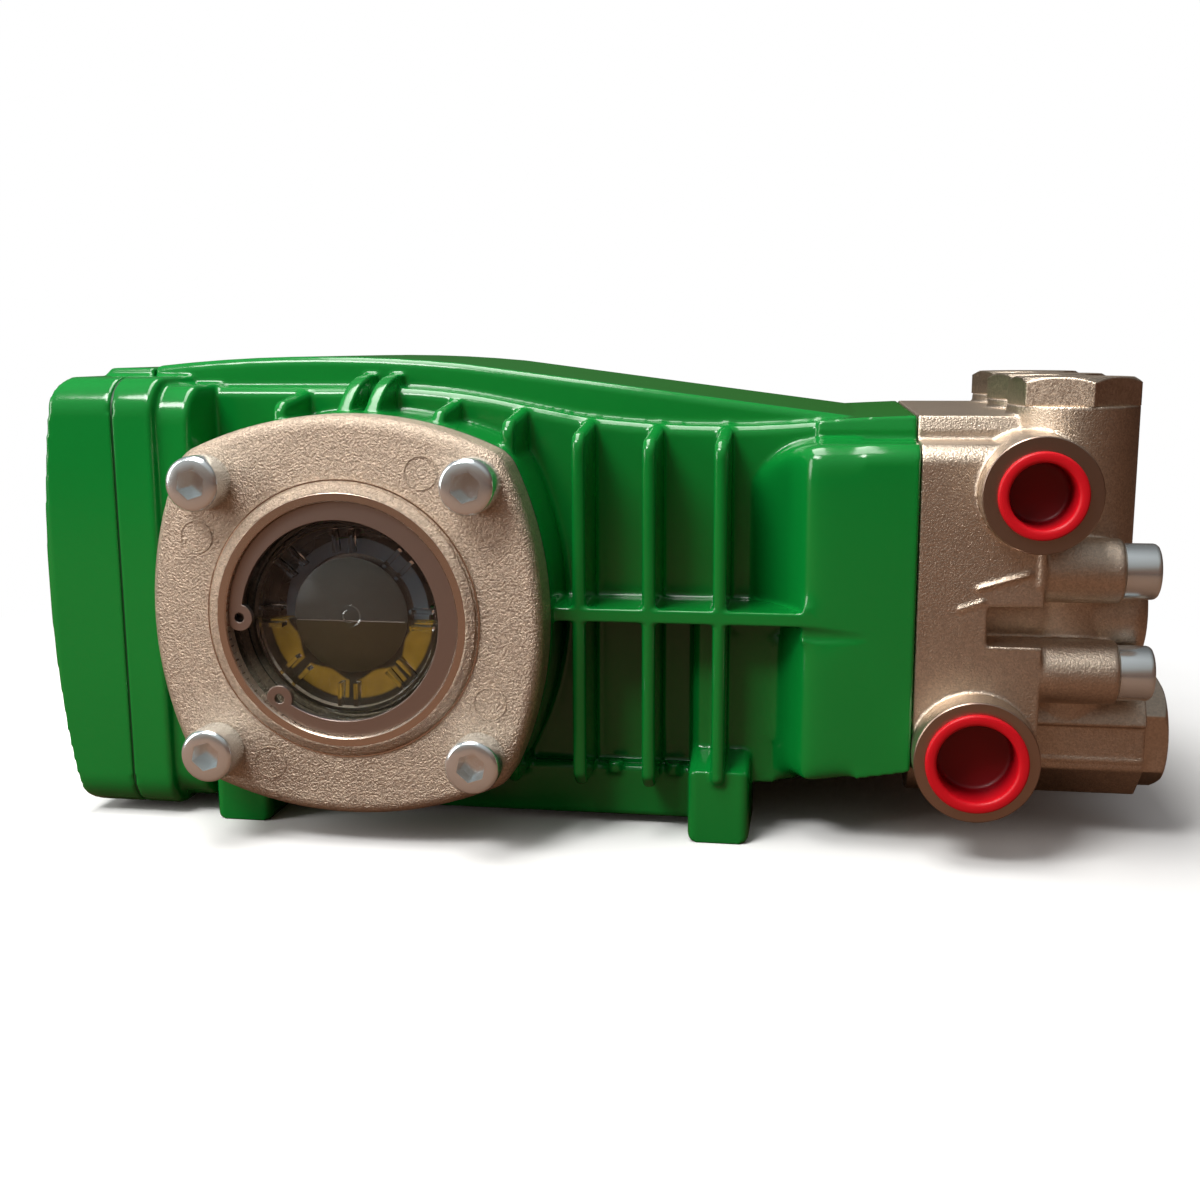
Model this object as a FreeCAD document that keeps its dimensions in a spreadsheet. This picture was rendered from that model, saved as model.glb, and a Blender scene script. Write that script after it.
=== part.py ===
# High-pressure triplex plunger pump with a ribbed cast crankcase, a bearing cover
# with a sight glass, and a nickel-plated pump head.
# Millimetres. +X runs from the rear cover to the pump head, +Y from the sight glass
# to the drive shaft, +Z up. The origin is the centre of the four foot holes, on the
# plane that the feet stand on.

import FreeCAD, Part
import os
import re
import Sketcher
from FreeCAD import Placement, Rotation, Vector

doc = FreeCAD.newDocument("plunger_pump")

# Driving sizes: name, value in millimetres (or a count), what it is
DRIVING_SIZES = [
    ("crank_height", 56.5, "crank axis above the standing plane"),
    ("foot_spacing_long", 122, "foot holes, along X"),
    ("foot_spacing_wide", 112, "foot holes, along Y"),
    ("rear_foot_offset", 34, "rear feet behind the crank axis"),
    ("foot_length", 15, "one foot, along X"),
    ("foot_margin", 8, "outer edge of a foot beyond its hole"),
    ("foot_height", 18, "one foot above the standing plane"),
    ("foot_gusset", 7, "slope from a foot up to the side wall"),
    ("foot_round", 2, "rounded edges of a foot"),
    ("foot_hole_radius", 3.4, "tapping drill for M8"),
    ("foot_hole_depth", 13, "tapped depth"),
    ("rear_seam", 62.5, "rear cover seam behind the crank axis"),
    ("head_seam", 133.4, "pump head seam ahead of the crank axis"),
    ("case_half_width", 66, "rib fronts and flanges from the middle plane"),
    ("wall_half_width", 47.5, "recessed side wall from the middle plane"),
    ("block_half_width", 41, "raised middle block from the middle plane"),
    ("boss_rise", 2.9, "bearing bosses beyond the rib fronts"),
    ("skirt_half_width", 52.5, "side face of the skirt from the middle plane"),
    ("case_bottom", 54.4, "underside of the skirt below the crank axis"),
    ("skirt_top", 41, "upper edge of the skirt below the crank axis"),
    ("skirt_rear", 43, "rear end of the skirt behind the crank axis"),
    ("pilaster_half_width", 55, "side wall over a front foot from the middle plane"),
    ("pilaster_round", 3, "rounded rear edge of that wall"),
    ("block_rear_height", 58.9, "raised block at the rear seam"),
    ("block_crown_height", 61.2, "raised block at its highest"),
    ("block_bend_height", 59.4, "raised block where its slope begins"),
    ("block_bend", 20, "where the slope of the raised block begins"),
    ("block_front", 118, "front end of the raised block"),
    ("block_front_height", 46.5, "raised block at its front end"),
    ("block_round", 2, "rounded upper edges of the raised block"),
    ("shelf_height", 53.5, "shelf beside the raised block"),
    ("shelf_low_height", 44.4, "lowest stretch of the shelf"),
    ("shelf_fall_start", 3, "where the shelf begins to fall"),
    ("shelf_fall_drop", 1.1, "fall of the shelf at the quarter of its length"),
    ("shelf_fall_middle", 34.5, "middle of the fall"),
    ("shelf_fall_height", 49.8, "shelf at the middle of the fall"),
    ("shelf_fall_end", 50.5, "where the fall ends"),
    ("shelf_end_height", 46.7, "shelf where the fall ends"),
    ("shelf_low", 80, "where the shelf is lowest"),
    ("shelf_round", 2.5, "rounded outer edge of the shelf"),
    ("head_top", 47, "top of the pump head above the crank axis"),
    ("head_bottom", 35.8, "underside of the pump head flange below the crank axis"),
    ("lip_depth", 3.4, "upper lip along the front block and the pump head"),
    ("lip_width", 1, "that lip beyond the side wall"),
    ("shoulder_height", 41.2, "shoulder under that lip"),
    ("shoulder_round", 4.5, "round edge of the shoulder"),
    ("shoulder_level", 110, "where the shoulder of the front block becomes level"),
    ("shoulder_bend", 101.3, "middle of its rounded rear end"),
    ("shoulder_bend_height", 38.2, "shoulder there"),
    ("shoulder_rear_height", 29, "shoulder where the front block leaves the side wall"),
    ("rib_thickness", 3.3, "cast rib"),
    ("rib_round", 1.3, "round edges of ribs and fins"),
    ("rib_corner", 4, "rounded upper corner of a rib"),
    ("rib_foot", 3, "bevelled lower corner of a rib"),
    ("rib_pitch", 16.9, "side ribs, along X"),
    ("rib_first", 20.3, "first full side rib ahead of the crank axis"),
    ("rear_rib", 19.3, "rib between the rear step and the bearing boss, behind the crank axis"),
    ("rib_count", 5, "full side ribs"),
    ("rib_drop", 2.7, "rib tips below the shelf"),
    ("rib_bottom", 43.3, "lower end of the ribs below the crank axis"),
    ("fin_spacing", 7, "pair of tall fins over the crank axis"),
    ("fin_top", 56.2, "tall fins at the raised block"),
    ("fin_bow", 2.5, "bow of the upper edge of a tall fin"),
    ("front_block_rear", 94.8, "where the front block leaves the side wall"),
    ("front_block_face", 107.6, "where its side face begins"),
    ("front_block_hollow", 1.3, "hollow of the flare between those two"),
    ("front_block_bottom", 40.2, "underside of the front block"),
    ("front_block_slope", 109, "where its underside begins to rise"),
    ("rear_flange_depth", 10.5, "crankcase flange at the rear seam, along X"),
    ("rear_flange_top", 56.4, "top of the rear flange above the crank axis"),
    ("rear_step_depth", 19, "step ahead of the rear flange, along X"),
    ("rear_step_drop", 2, "that step inside the flange"),
    ("rear_bottom", 54.4, "underside of the rear flange below the crank axis"),
    ("rear_corner", 9, "corner radius of the rear flange"),
    ("gasket_thickness", 0.5, "paper gaskets"),
    ("gasket_inset", 0.4, "gaskets inside their flanges"),
    ("rear_cover_depth", 20, "rear cover, along X"),
    ("rear_cover_edge", 17, "rear cover at its rounded rim, along X"),
    ("rear_cover_draft", 2, "rear cover narrower at its rim than at its seat"),
    ("rear_screw_radius", 3, "M6 screws of the rear cover"),
    ("rear_screw_length", 16, "shank of a rear cover screw"),
    ("rear_screw_head", 6, "head of a rear cover screw"),
    ("rear_screw_key", 5, "key width of an M6 cap screw"),
    ("rear_clamp", 8, "rear cover under the screw heads"),
    ("rear_screw_edge", 9, "rear cover screws inside the flange"),
    ("rear_screw_inner", 20, "inner rear cover screws from the middle plane"),
    ("cover_half_width", 48.1, "bearing cover from the crank axis"),
    ("cover_corner", 8.5, "bearing cover corner about its screw"),
    ("cover_thickness", 10.6, "bearing cover plate"),
    ("cover_round", 3, "rounded front edge of a bearing cover"),
    ("cover_screw_pitch", 65, "square screw pattern of a bearing cover"),
    ("cover_screw_reach", 12, "cover screws in the crankcase"),
    ("tap_spare", 2, "tapped holes deeper than their screws"),
    ("ring_radius", 33, "machined ring of the sight side cover"),
    ("ring_rise", 1.8, "machined ring above the plate"),
    ("ring_step", 0.5, "low step around the machined ring"),
    ("ring_chamfer", 1.8, "chamfer outside the land of the ring"),
    ("glass_bore_radius", 28.3, "bore for the sight glass"),
    ("bore_chamfer", 0.4, "chamfer of that bore"),
    ("view_radius", 24.6, "view opening behind the sight glass"),
    ("glass_thickness", 5, "sight glass"),
    ("glass_dish_radius", 19.5, "dished middle of the sight glass"),
    ("glass_dish_depth", 2.4, "depth of that dish"),
    ("glass_dish_slope", 1, "slope round the dish"),
    ("glass_clearance", 0.3, "sight glass in its bore"),
    ("circlip_thickness", 1.5, "retaining ring of the sight glass"),
    ("circlip_set_back", 1.6, "retaining ring behind the land"),
    ("circlip_inner_radius", 24.2, "inside of the retaining ring"),
    ("circlip_offset", 0.9, "inside of the retaining ring towards its ends"),
    ("circlip_lug_radius", 3.2, "lug of the retaining ring"),
    ("circlip_lug_circle", 25.6, "lug holes from the crank axis"),
    ("circlip_hole_radius", 1.2, "lug hole"),
    ("circlip_first_angle", 180, "first lug, degrees from the +X side"),
    ("circlip_gap_angle", 50, "between the lugs, degrees"),
    ("bearing_outer_radius", 31, "main bearing"),
    ("bearing_inner_radius", 15, "bore of the main bearing"),
    ("bearing_width", 16, "main bearing"),
    ("bearing_cone_radius", 19, "outside of the inner ring"),
    ("bearing_cup_radius", 26.6, "inside of the outer ring"),
    ("roller_radius", 3.2, "bearing roller"),
    ("roller_inset", 1.5, "rollers inside the faces of the bearing"),
    ("cage_inset", 1, "cage inside the faces of the bearing"),
    ("cage_thickness", 2.4, "bearing cage"),
    ("roller_count", 14, "rollers"),
    ("running_gap", 0.4, "moving pieces clear of fixed ones"),
    ("crank_clearance", 5, "crankshaft clear of its chamber"),
    ("crank_end_gap", 1, "ends of the crankshaft inside its bearings' faces"),
    ("centre_hole_radius", 2.5, "turning centre in the blind end of the crankshaft"),
    ("centre_hole_depth", 4, "depth of that centre"),
    ("shaft_radius", 12, "drive shaft"),
    ("shaft_reach", 48, "drive shaft beyond its bearing cover"),
    ("seal_shaft_radius", 12.5, "crankshaft under its seal"),
    ("key_width", 8, "keyway"),
    ("key_depth", 4, "keyway"),
    ("key_length", 32, "keyway"),
    ("seal_radius", 21, "outside of the shaft seal"),
    ("seal_width", 7, "shaft seal"),
    ("drive_ring_inset", 2, "boss round the shaft seal inside the machined ring's radius"),
    ("plunger_pitch", 40, "between neighbouring plungers"),
    ("head_inset", 0.8, "pump head inside the crankcase's side faces"),
    ("head_block_depth", 28.6, "pump head's block, along X"),
    ("head_corner", 3, "lower corner radius of the pump head"),
    ("pocket_start", 16.2, "bottom of the pocket between the bolt rows ahead of the seam"),
    ("pocket_top", 4.2, "upper side of that pocket above the crank axis"),
    ("pocket_bottom", 5, "lower side of that pocket below the crank axis"),
    ("bolt_boss_radius", 7.6, "bosses of the head bolts"),
    ("bolt_boss_length", 46.4, "bolt bosses, from the seam"),
    ("bolt_boss_round", 1, "rounded edge of that face"),
    ("bolt_seat_radius", 7.5, "spot face of a head bolt"),
    ("bolt_edge", 7.6, "outer head bolts inside the pump head's side face"),
    ("bolt_row_height", 12, "bolt rows above and below the crank axis"),
    ("bolt_reach", 16, "head bolts in the crankcase"),
    ("bolt_radius", 4, "M8 screws"),
    ("bolt_head_radius", 6.5, "head of an M8 cap screw"),
    ("bolt_head_height", 8, "head of an M8 cap screw"),
    ("bolt_head_round", 0.7, "rounded edge of that head"),
    ("bolt_hexagon", 6, "key width of an M8 cap screw"),
    ("thread_clearance", 0.1, "screws in their holes"),
    ("outlet_ahead", 25.8, "outlet gallery ahead of the seam"),
    ("outlet_height", 30.8, "outlet gallery above the crank axis"),
    ("outlet_boss_radius", 13.1, "outlet boss"),
    ("outlet_bore_radius", 8.3, "outlet port, G3/8"),
    ("inlet_ahead", 14.2, "inlet gallery ahead of the seam"),
    ("inlet_depth", 30.5, "inlet gallery and suction valves below the crank axis"),
    ("inlet_boss_radius", 14.2, "inlet boss"),
    ("inlet_bore_radius", 10.4, "inlet port, G1/2"),
    ("port_rise", 8.8, "port faces beyond the pump head's side face"),
    ("port_depth", 13, "port bores"),
    ("cap_wall", 1.2, "plastic port cap"),
    ("cap_rim", 1.9, "rim of a port cap over its tube"),
    ("cap_rim_height", 1.6, "rim of a port cap above the port face"),
    ("cap_depth", 10, "hollow of a port cap"),
    ("tower_ahead", 36.6, "delivery valve axes ahead of the seam"),
    ("tower_radius", 15.3, "delivery valve tower"),
    ("tower_top", 49.4, "delivery valve towers above the crank axis"),
    ("tower_hexagon", 27, "key width of a delivery valve cap"),
    ("tower_cap_height", 6.6, "hexagon of a delivery valve cap"),
    ("suction_radius", 16.4, "suction valve housing"),
    ("suction_length", 55, "suction valve housings, from the seam"),
    ("suction_hexagon", 24, "key width of a suction valve cap"),
    ("suction_cap_height", 5.8, "hexagon of a suction valve cap"),
    ("hexagon_chamfer", 30, "chamfer of the valve caps, degrees"),
    ("core_length", 54.6, "plunger chambers, from the seam"),
    ("core_radius", 14.5, "plunger chamber"),
]

# Sizes that follow from the driving ones
DERIVED_SIZES = [
    ("crank_x", "=rear_foot_offset - foot_spacing_long / 2"),
    ("front_foot_offset", "=foot_spacing_long - rear_foot_offset"),
    ("front_foot_rear", "=front_foot_offset - foot_length / 2"),
    ("skirt_front", "=front_foot_rear + foot_round"),
    ("screw_half_pitch", "=cover_screw_pitch / 2"),
    ("cover_reach", "=cover_half_width - cover_corner"),
    ("cover_bow", "=(2 * screw_half_pitch ^ 2 - cover_reach ^ 2) / (2 * (cover_reach - screw_half_pitch))"),
    ("cover_bow_radius", "=cover_half_width + cover_bow"),
    ("cover_bow_length", "=cover_bow_radius - cover_corner"),
    ("tangent_near", "=cover_bow_radius * screw_half_pitch / cover_bow_length"),
    ("tangent_far", "=cover_bow_radius * (screw_half_pitch + cover_bow) / cover_bow_length - cover_bow"),
    ("corner_tip", "=screw_half_pitch + cover_corner * 0.70710678"),
    ("cover_seat", "=case_half_width + boss_rise"),
    ("cover_back", "=cover_seat + gasket_thickness"),
    ("cover_front", "=cover_back + cover_thickness"),
    ("ring_front", "=cover_front + ring_rise"),
    ("glass_radius", "=glass_bore_radius - glass_clearance"),
    ("glass_front", "=ring_front - circlip_set_back - circlip_thickness"),
    ("glass_seat", "=cover_thickness + ring_rise - circlip_set_back - circlip_thickness - glass_thickness"),
    ("roller_circle", "=(bearing_cone_radius + bearing_cup_radius) / 2"),
    ("bearing_front", "=cover_seat - running_gap"),
    ("bearing_back", "=bearing_front - bearing_width"),
    ("crank_bore_radius", "=bearing_inner_radius + crank_clearance"),
    ("shaft_end", "=cover_front + shaft_reach"),
    ("outlet_cap_radius", "=outlet_bore_radius - thread_clearance"),
    ("inlet_cap_radius", "=inlet_bore_radius - thread_clearance"),
    ("rear_cover_seat", "=rear_seam + gasket_thickness"),
    ("rear_step_top", "=rear_flange_top - rear_step_drop"),
    ("rear_screw_across", "=case_half_width - rear_screw_edge"),
    ("rear_screw_up", "=rear_flange_top - rear_screw_edge"),
    ("rear_screw_down", "=rear_bottom - rear_screw_edge"),
    ("head_half_width", "=case_half_width - head_inset"),
    ("head_block_end", "=head_seam + head_block_depth"),
    ("pocket_rear", "=head_seam + pocket_start"),
    ("bolt_boss_end", "=head_seam + bolt_boss_length"),
    ("outlet_x", "=head_seam + outlet_ahead"),
    ("inlet_x", "=head_seam + inlet_ahead"),
    ("tower_x", "=head_seam + tower_ahead"),
    ("suction_end", "=head_seam + suction_length"),
    ("port_face", "=head_half_width + port_rise"),
    ("bolt_across", "=head_half_width - bolt_edge"),
    ("fin_reach", "=(case_half_width + block_half_width) / 2 + rib_thickness"),
]

sheet = doc.addObject("Spreadsheet::Sheet", "sizes")
row = 0
for name, value, note in DRIVING_SIZES:
    row += 1
    sheet.set(f"A{row}", note)
    sheet.set(f"B{row}", str(value))
    sheet.setAlias(f"B{row}", name)
for name, rule in DERIVED_SIZES:
    row += 1
    sheet.set(f"A{row}", name.replace("_", " "))
    sheet.set(f"B{row}", rule)
    sheet.setAlias(f"B{row}", name)
doc.recompute()

ALIASES = {name for name, *rest in DRIVING_SIZES} | {name for name, rule in DERIVED_SIZES}
ALONG_X = Rotation(Vector(0, 1, 0), 90)
ALONG_Y = Rotation(Vector(1, 0, 0), -90)
ALONG_MINUS_Y = Rotation(Vector(1, 0, 0), 90)
UPRIGHT = Rotation()


def formula(text):
    """The formula with each size written as a cell of the sheet."""
    return re.sub(r"[a-z_]+", lambda word: f"sizes.{word[0]}" if word[0] in ALIASES else word[0], str(text))


def value_of(text):
    """The number that a formula gives now."""
    return float(sheet.evalExpression(formula(text)))


def bind(piece, prop, text):
    piece.setExpression(prop, formula(text))


def put(piece, at, rotation=UPRIGHT):
    """Places a piece by three formulas and a rotation."""
    piece.Placement = Placement(Vector(*[value_of(part) for part in at]), rotation)
    for axis, part in zip("xyz", at):
        bind(piece, f"Placement.Base.{axis}", part)
    return piece


def box(name, corner, lengths):
    piece = doc.addObject("Part::Box", name)
    for prop, text in zip(("Length", "Width", "Height"), lengths):
        bind(piece, prop, text)
    return put(piece, corner)


def wide_box(name, x_from, x_to, half_width, z_from, z_to):
    """A box that is as wide on both sides of the middle plane."""
    corner = (x_from, f"-({half_width})", z_from)
    return box(name, corner, (f"({x_to}) - ({x_from})", f"2 * ({half_width})", f"({z_to}) - ({z_from})"))


def cylinder(name, radius, length, at, rotation):
    piece = doc.addObject("Part::Cylinder", name)
    bind(piece, "Radius", radius)
    bind(piece, "Height", length)
    return put(piece, at, rotation)


def hexagon(name, key_width, height, at, rotation):
    piece = doc.addObject("Part::Prism", name)
    piece.Polygon = 6
    bind(piece, "Circumradius", f"({key_width}) / 2 / cos(30)")
    bind(piece, "Height", height)
    return put(piece, at, rotation)


def fuse(name, pieces):
    result = doc.addObject("Part::MultiFuse", name)
    result.Shapes = pieces
    result.Refine = True
    return result


def cut(name, base, tool):
    result = doc.addObject("Part::Cut", name)
    result.Base = base
    result.Tool = tool
    result.Refine = True
    return result


def round_edges(name, base, radius, chosen=None):
    """Rounds the edges of a piece, or only the chosen ones."""
    doc.recompute()
    edges = [number for number, edge in enumerate(base.Shape.Edges, 1) if chosen is None or chosen(edge)]
    result = doc.addObject("Part::Fillet", name)
    result.Base = base
    result.Edges = [(number, value_of(radius), value_of(radius)) for number in edges]
    return result


def constrain_point(sketch, index, position, u_text, v_text):
    """Holds a point of the sketch at two formulas from the sketch's origin."""
    for kind, text, axis in (("DistanceX", u_text, -2), ("DistanceY", v_text, -1)):
        if abs(value_of(text)) < 1e-9:
            sketch.addConstraint(Sketcher.Constraint("PointOnObject", index, position, axis))
        else:
            number = sketch.addConstraint(
                Sketcher.Constraint(kind, -1, 1, index, position, value_of(text)))
            sketch.setExpression(f"Constraints[{number}]", formula(text))


def draw_outline(sketch, outline):
    """Draws a closed outline. A corner is (u, v); (u, v, "through") bends the edge
    between its neighbours into an arc that passes there."""
    corners = [point for point in outline if len(point) == 2]
    edges = []
    for index, corner in enumerate(corners):
        following = outline[(outline.index(corner) + 1) % len(outline)]
        middle = following if len(following) == 3 else None
        edges.append((corner, middle, corners[(index + 1) % len(corners)]))
    first = sketch.GeometryCount
    arcs_reversed = []
    for start, middle, end in edges:
        a = Vector(value_of(start[0]), value_of(start[1]), 0)
        b = Vector(value_of(end[0]), value_of(end[1]), 0)
        if middle is None:
            sketch.addGeometry(Part.LineSegment(a, b), False)
            arcs_reversed.append(False)
        else:
            c = Vector(value_of(middle[0]), value_of(middle[1]), 0)
            clockwise = (c - a).cross(b - c).z < 0
            sketch.addGeometry(Part.Arc(b, c, a) if clockwise else Part.Arc(a, c, b), False)
            arcs_reversed.append(clockwise)
    for index, (start, middle, end) in enumerate(edges):
        here = first + index
        after = first + (index + 1) % len(edges)
        start_position = 2 if arcs_reversed[index] else 1
        end_position = 1 if arcs_reversed[index] else 2
        next_position = 2 if arcs_reversed[(index + 1) % len(edges)] else 1
        sketch.addConstraint(Sketcher.Constraint("Coincident", here, end_position, after, next_position))
        constrain_point(sketch, here, start_position, start[0], start[1])
    for index, (start, middle, end) in enumerate(edges):
        if middle is not None:
            point = Part.Point(Vector(value_of(middle[0]), value_of(middle[1]), 0))
            mark = sketch.addGeometry(point, True)
            sketch.addConstraint(Sketcher.Constraint("PointOnObject", mark, 1, first + index))
            constrain_point(sketch, mark, 1, middle[0], middle[1])


PLANE_ROTATIONS = {
    "XY_Plane": Rotation(),
    "XZ_Plane": Rotation(Vector(1, 0, 0), 90),
    "YZ_Plane": Rotation(Vector(1, 1, 1), 120),
}


def loose_sketch(name, plane, outline):
    """A sketch outside any body, on a plane through the origin."""
    sketch = doc.addObject("Sketcher::SketchObject", name)
    sketch.Placement = Placement(Vector(), PLANE_ROTATIONS[plane])
    draw_outline(sketch, outline)
    return sketch


def extrude(name, sketch, direction, length, symmetric=True):
    """A solid drawn along a direction, to both sides alike unless told otherwise."""
    piece = doc.addObject("Part::Extrusion", name)
    piece.Base = sketch
    piece.DirMode = "Custom"
    piece.Dir = direction
    piece.Solid = True
    piece.Symmetric = symmetric
    bind(piece, "LengthFwd", length)
    return piece


def new_body(name):
    body = doc.addObject("PartDesign::Body", f"{name}_body")
    body.Label = name
    return body


def body_sketch(body, role, name, outline, offset=None):
    """A sketch on one of the body's own planes, drawn to an outline."""
    plane = next(item for item in body.Origin.OriginFeatures if item.Role == role)
    sketch = body.newObject("Sketcher::SketchObject", name)
    sketch.AttachmentSupport = [(plane, "")]
    sketch.MapMode = "FlatFace"
    if offset is not None:
        bind(sketch, "AttachmentOffset.Base.z", offset)
    draw_outline(sketch, outline)
    return sketch


def revolve(name, body, sketch, axis="V_Axis"):
    feature = body.newObject("PartDesign::Revolution", name)
    feature.Profile = sketch
    feature.ReferenceAxis = (sketch, [axis])
    feature.Angle = 360
    return feature


SUB_PARTS = []


def sub_part(piece, label, at=("crank_x", "0", "crank_height"), rotation=UPRIGHT):
    """Names a finished piece and sets it in the frame of the pump."""
    piece.Label = label
    put(piece, at, rotation)
    SUB_PARTS.append(piece)
    return piece


def set_out(x="0", y="0", z="0"):
    """A place given from the crank axis and the middle plane."""
    return (f"crank_x + ({x})", y, f"crank_height + ({z})")


# Outlines that several pieces share, seen along Y or along X from the crank axis

COVER_OUTLINE = [
    ("tangent_near", "tangent_far"),
    ("0", "cover_half_width", "through"),
    ("-tangent_near", "tangent_far"),
    ("-corner_tip", "corner_tip", "through"),
    ("-tangent_far", "tangent_near"),
    ("-cover_half_width", "0", "through"),
    ("-tangent_far", "-tangent_near"),
    ("-corner_tip", "-corner_tip", "through"),
    ("-tangent_near", "-tangent_far"),
    ("0", "-cover_half_width", "through"),
    ("tangent_near", "-tangent_far"),
    ("corner_tip", "-corner_tip", "through"),
    ("tangent_far", "-tangent_near"),
    ("cover_half_width", "0", "through"),
    ("tangent_far", "tangent_near"),
    ("corner_tip", "corner_tip", "through"),
]


def rounded_outline(half_width, top, bottom, corner):
    """A rectangle about the middle plane with four round corners."""
    near = f"({corner}) * 0.29289322"
    return [
        (f"{half_width}", f"({top}) - ({corner})"),
        (f"{half_width} - {near}", f"({top}) - {near}", "through"),
        (f"{half_width} - ({corner})", f"{top}"),
        (f"-({half_width}) + ({corner})", f"{top}"),
        (f"-({half_width}) + {near}", f"({top}) - {near}", "through"),
        (f"-({half_width})", f"({top}) - ({corner})"),
        (f"-({half_width})", f"-({bottom}) + ({corner})"),
        (f"-({half_width}) + {near}", f"-({bottom}) + {near}", "through"),
        (f"-({half_width}) + ({corner})", f"-({bottom})"),
        (f"{half_width} - ({corner})", f"-({bottom})"),
        (f"{half_width} - {near}", f"-({bottom}) + {near}", "through"),
        (f"{half_width}", f"-({bottom}) + ({corner})"),
    ]


# Crankcase: a casting with a raised block, shelves, side ribs, flanges and four feet

def shelf_outline():
    return [
        ("-rear_seam + rear_flange_depth", "shelf_height"),
        ("shelf_fall_start", "shelf_height"),
        ("(shelf_fall_start + shelf_fall_middle) / 2", "shelf_height - shelf_fall_drop", "through"),
        ("shelf_fall_middle", "shelf_fall_height"),
        ("shelf_fall_end", "shelf_end_height"),
        ("shelf_low", "shelf_low_height", "through"),
        ("block_front", "block_front_height - 0.2"),
        ("head_seam", "head_top"),
        ("head_seam", "-head_bottom"),
        ("front_block_slope", "-front_block_bottom"),
        ("skirt_front", "-skirt_top"),
        ("-rear_seam + rear_flange_depth", "-skirt_top"),
    ]


def block_outline():
    return [
        ("-rear_seam", "block_rear_height"),
        ("(block_bend - rear_seam) / 2", "block_crown_height", "through"),
        ("block_bend", "block_bend_height"),
        ("block_front", "block_front_height"),
        ("block_front", "0"),
        ("-rear_seam", "0"),
    ]


def shelf_at(position):
    """Height of the shelf at a place along X, for the tips of the ribs."""
    stations = [("-rear_seam", "shelf_height"), ("shelf_fall_start", "shelf_height"),
                ("shelf_fall_middle", "shelf_fall_height"), ("shelf_fall_end", "shelf_end_height"),
                ("shelf_low", "shelf_low_height"), ("head_seam", "head_top")]
    here = value_of(position)
    for (near, near_height), (far, far_height) in zip(stations, stations[1:]):
        if here <= value_of(far):
            share = f"(({position}) - ({near})) / (({far}) - ({near}))"
            return f"({near_height}) + (({far_height}) - ({near_height})) * {share}"
    return "head_top"


def side_rib(name, position, tip):
    """A plate across the casting whose two ends are the ribs of both sides."""
    outline = [
        ("case_half_width", "-rib_bottom + rib_foot"),
        ("case_half_width", f"{tip} - rib_corner"),
        ("case_half_width - rib_corner * 0.29289322", f"{tip} - rib_corner * 0.29289322", "through"),
        ("case_half_width - rib_corner", f"{tip}"),
        ("block_half_width", f"{tip} + rib_drop"),
        ("-block_half_width", f"{tip} + rib_drop"),
        ("-case_half_width + rib_corner", f"{tip}"),
        ("-case_half_width + rib_corner * 0.29289322", f"{tip} - rib_corner * 0.29289322", "through"),
        ("-case_half_width", f"{tip} - rib_corner"),
        ("-case_half_width", "-rib_bottom + rib_foot"),
        ("-case_half_width + rib_foot", "-rib_bottom"),
        ("case_half_width - rib_foot", "-rib_bottom"),
    ]
    sketch = loose_sketch(f"{name}_outline", "YZ_Plane", outline)
    rib = round_edges(name, extrude(f"{name}_plate", sketch, Vector(1, 0, 0), "rib_thickness"), "rib_round",
                      lambda edge: abs(edge.Vertexes[0].X - edge.Vertexes[-1].X) < 0.01)
    return put(rib, (position, "0", "0"))


def tall_fin(name, position):
    """One of the pair of fins that climb over the shelf to the raised block."""
    outline = [
        ("case_half_width", "cover_half_width / 2"),
        ("case_half_width", "cover_half_width - rib_foot / 2"),
        ("fin_reach", "fin_top - fin_bow", "through"),
        ("block_half_width - rib_foot", "fin_top"),
        ("-block_half_width + rib_foot", "fin_top"),
        ("-fin_reach", "fin_top - fin_bow", "through"),
        ("-case_half_width", "cover_half_width - rib_foot / 2"),
        ("-case_half_width", "cover_half_width / 2"),
    ]
    sketch = loose_sketch(f"{name}_outline", "YZ_Plane", outline)
    return put(extrude(name, sketch, Vector(1, 0, 0), "rib_thickness"), (position, "0", "0"))


def foot(name, centre, side):
    """One foot under the slope that joins it to the side wall."""
    reach = "foot_spacing_wide / 2 + foot_margin"
    outline = [
        ("block_half_width", "-crank_height"),
        (reach, "-crank_height"),
        (reach, "-crank_height + foot_height"),
        ("wall_half_width", "-crank_height + foot_height + foot_gusset"),
        ("block_half_width", "-crank_height + foot_height + foot_gusset"),
    ]
    if side < 0:
        outline = [(f"-({across})", up) for across, up in reversed(outline)]
    sketch = loose_sketch(f"{name}_outline", "YZ_Plane", outline)
    blank = extrude(f"{name}_blank", sketch, Vector(1, 0, 0), "foot_length")
    rounded = round_edges(name, blank, "foot_round", lambda edge: edge.BoundBox.XLength < 0.01)
    return [put(rounded, (centre, "0", "0"))]


def shouldered_outline(half_width, corner):
    """The section across the front block and the pump head: a lip over a round shoulder."""
    near = f"({corner}) * 0.29289322"
    bend = "shoulder_round * 0.29289322"
    right = [
        (f"{half_width} - ({corner})", "-head_bottom"),
        (f"{half_width} - {near}", f"-head_bottom + {near}", "through"),
        (f"{half_width}", f"-head_bottom + ({corner})"),
        (f"{half_width}", "shoulder_height - shoulder_round"),
        (f"{half_width} - {bend}", f"shoulder_height - {bend}", "through"),
        (f"{half_width} - shoulder_round", "shoulder_height"),
        ("wall_half_width + lip_width", "shoulder_height"),
        ("wall_half_width + lip_width", "head_top - lip_depth"),
        ("wall_half_width", "head_top"),
    ]
    left = [(f"-({point[0]})",) + point[1:] for point in reversed(right)]
    return right + left


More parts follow.
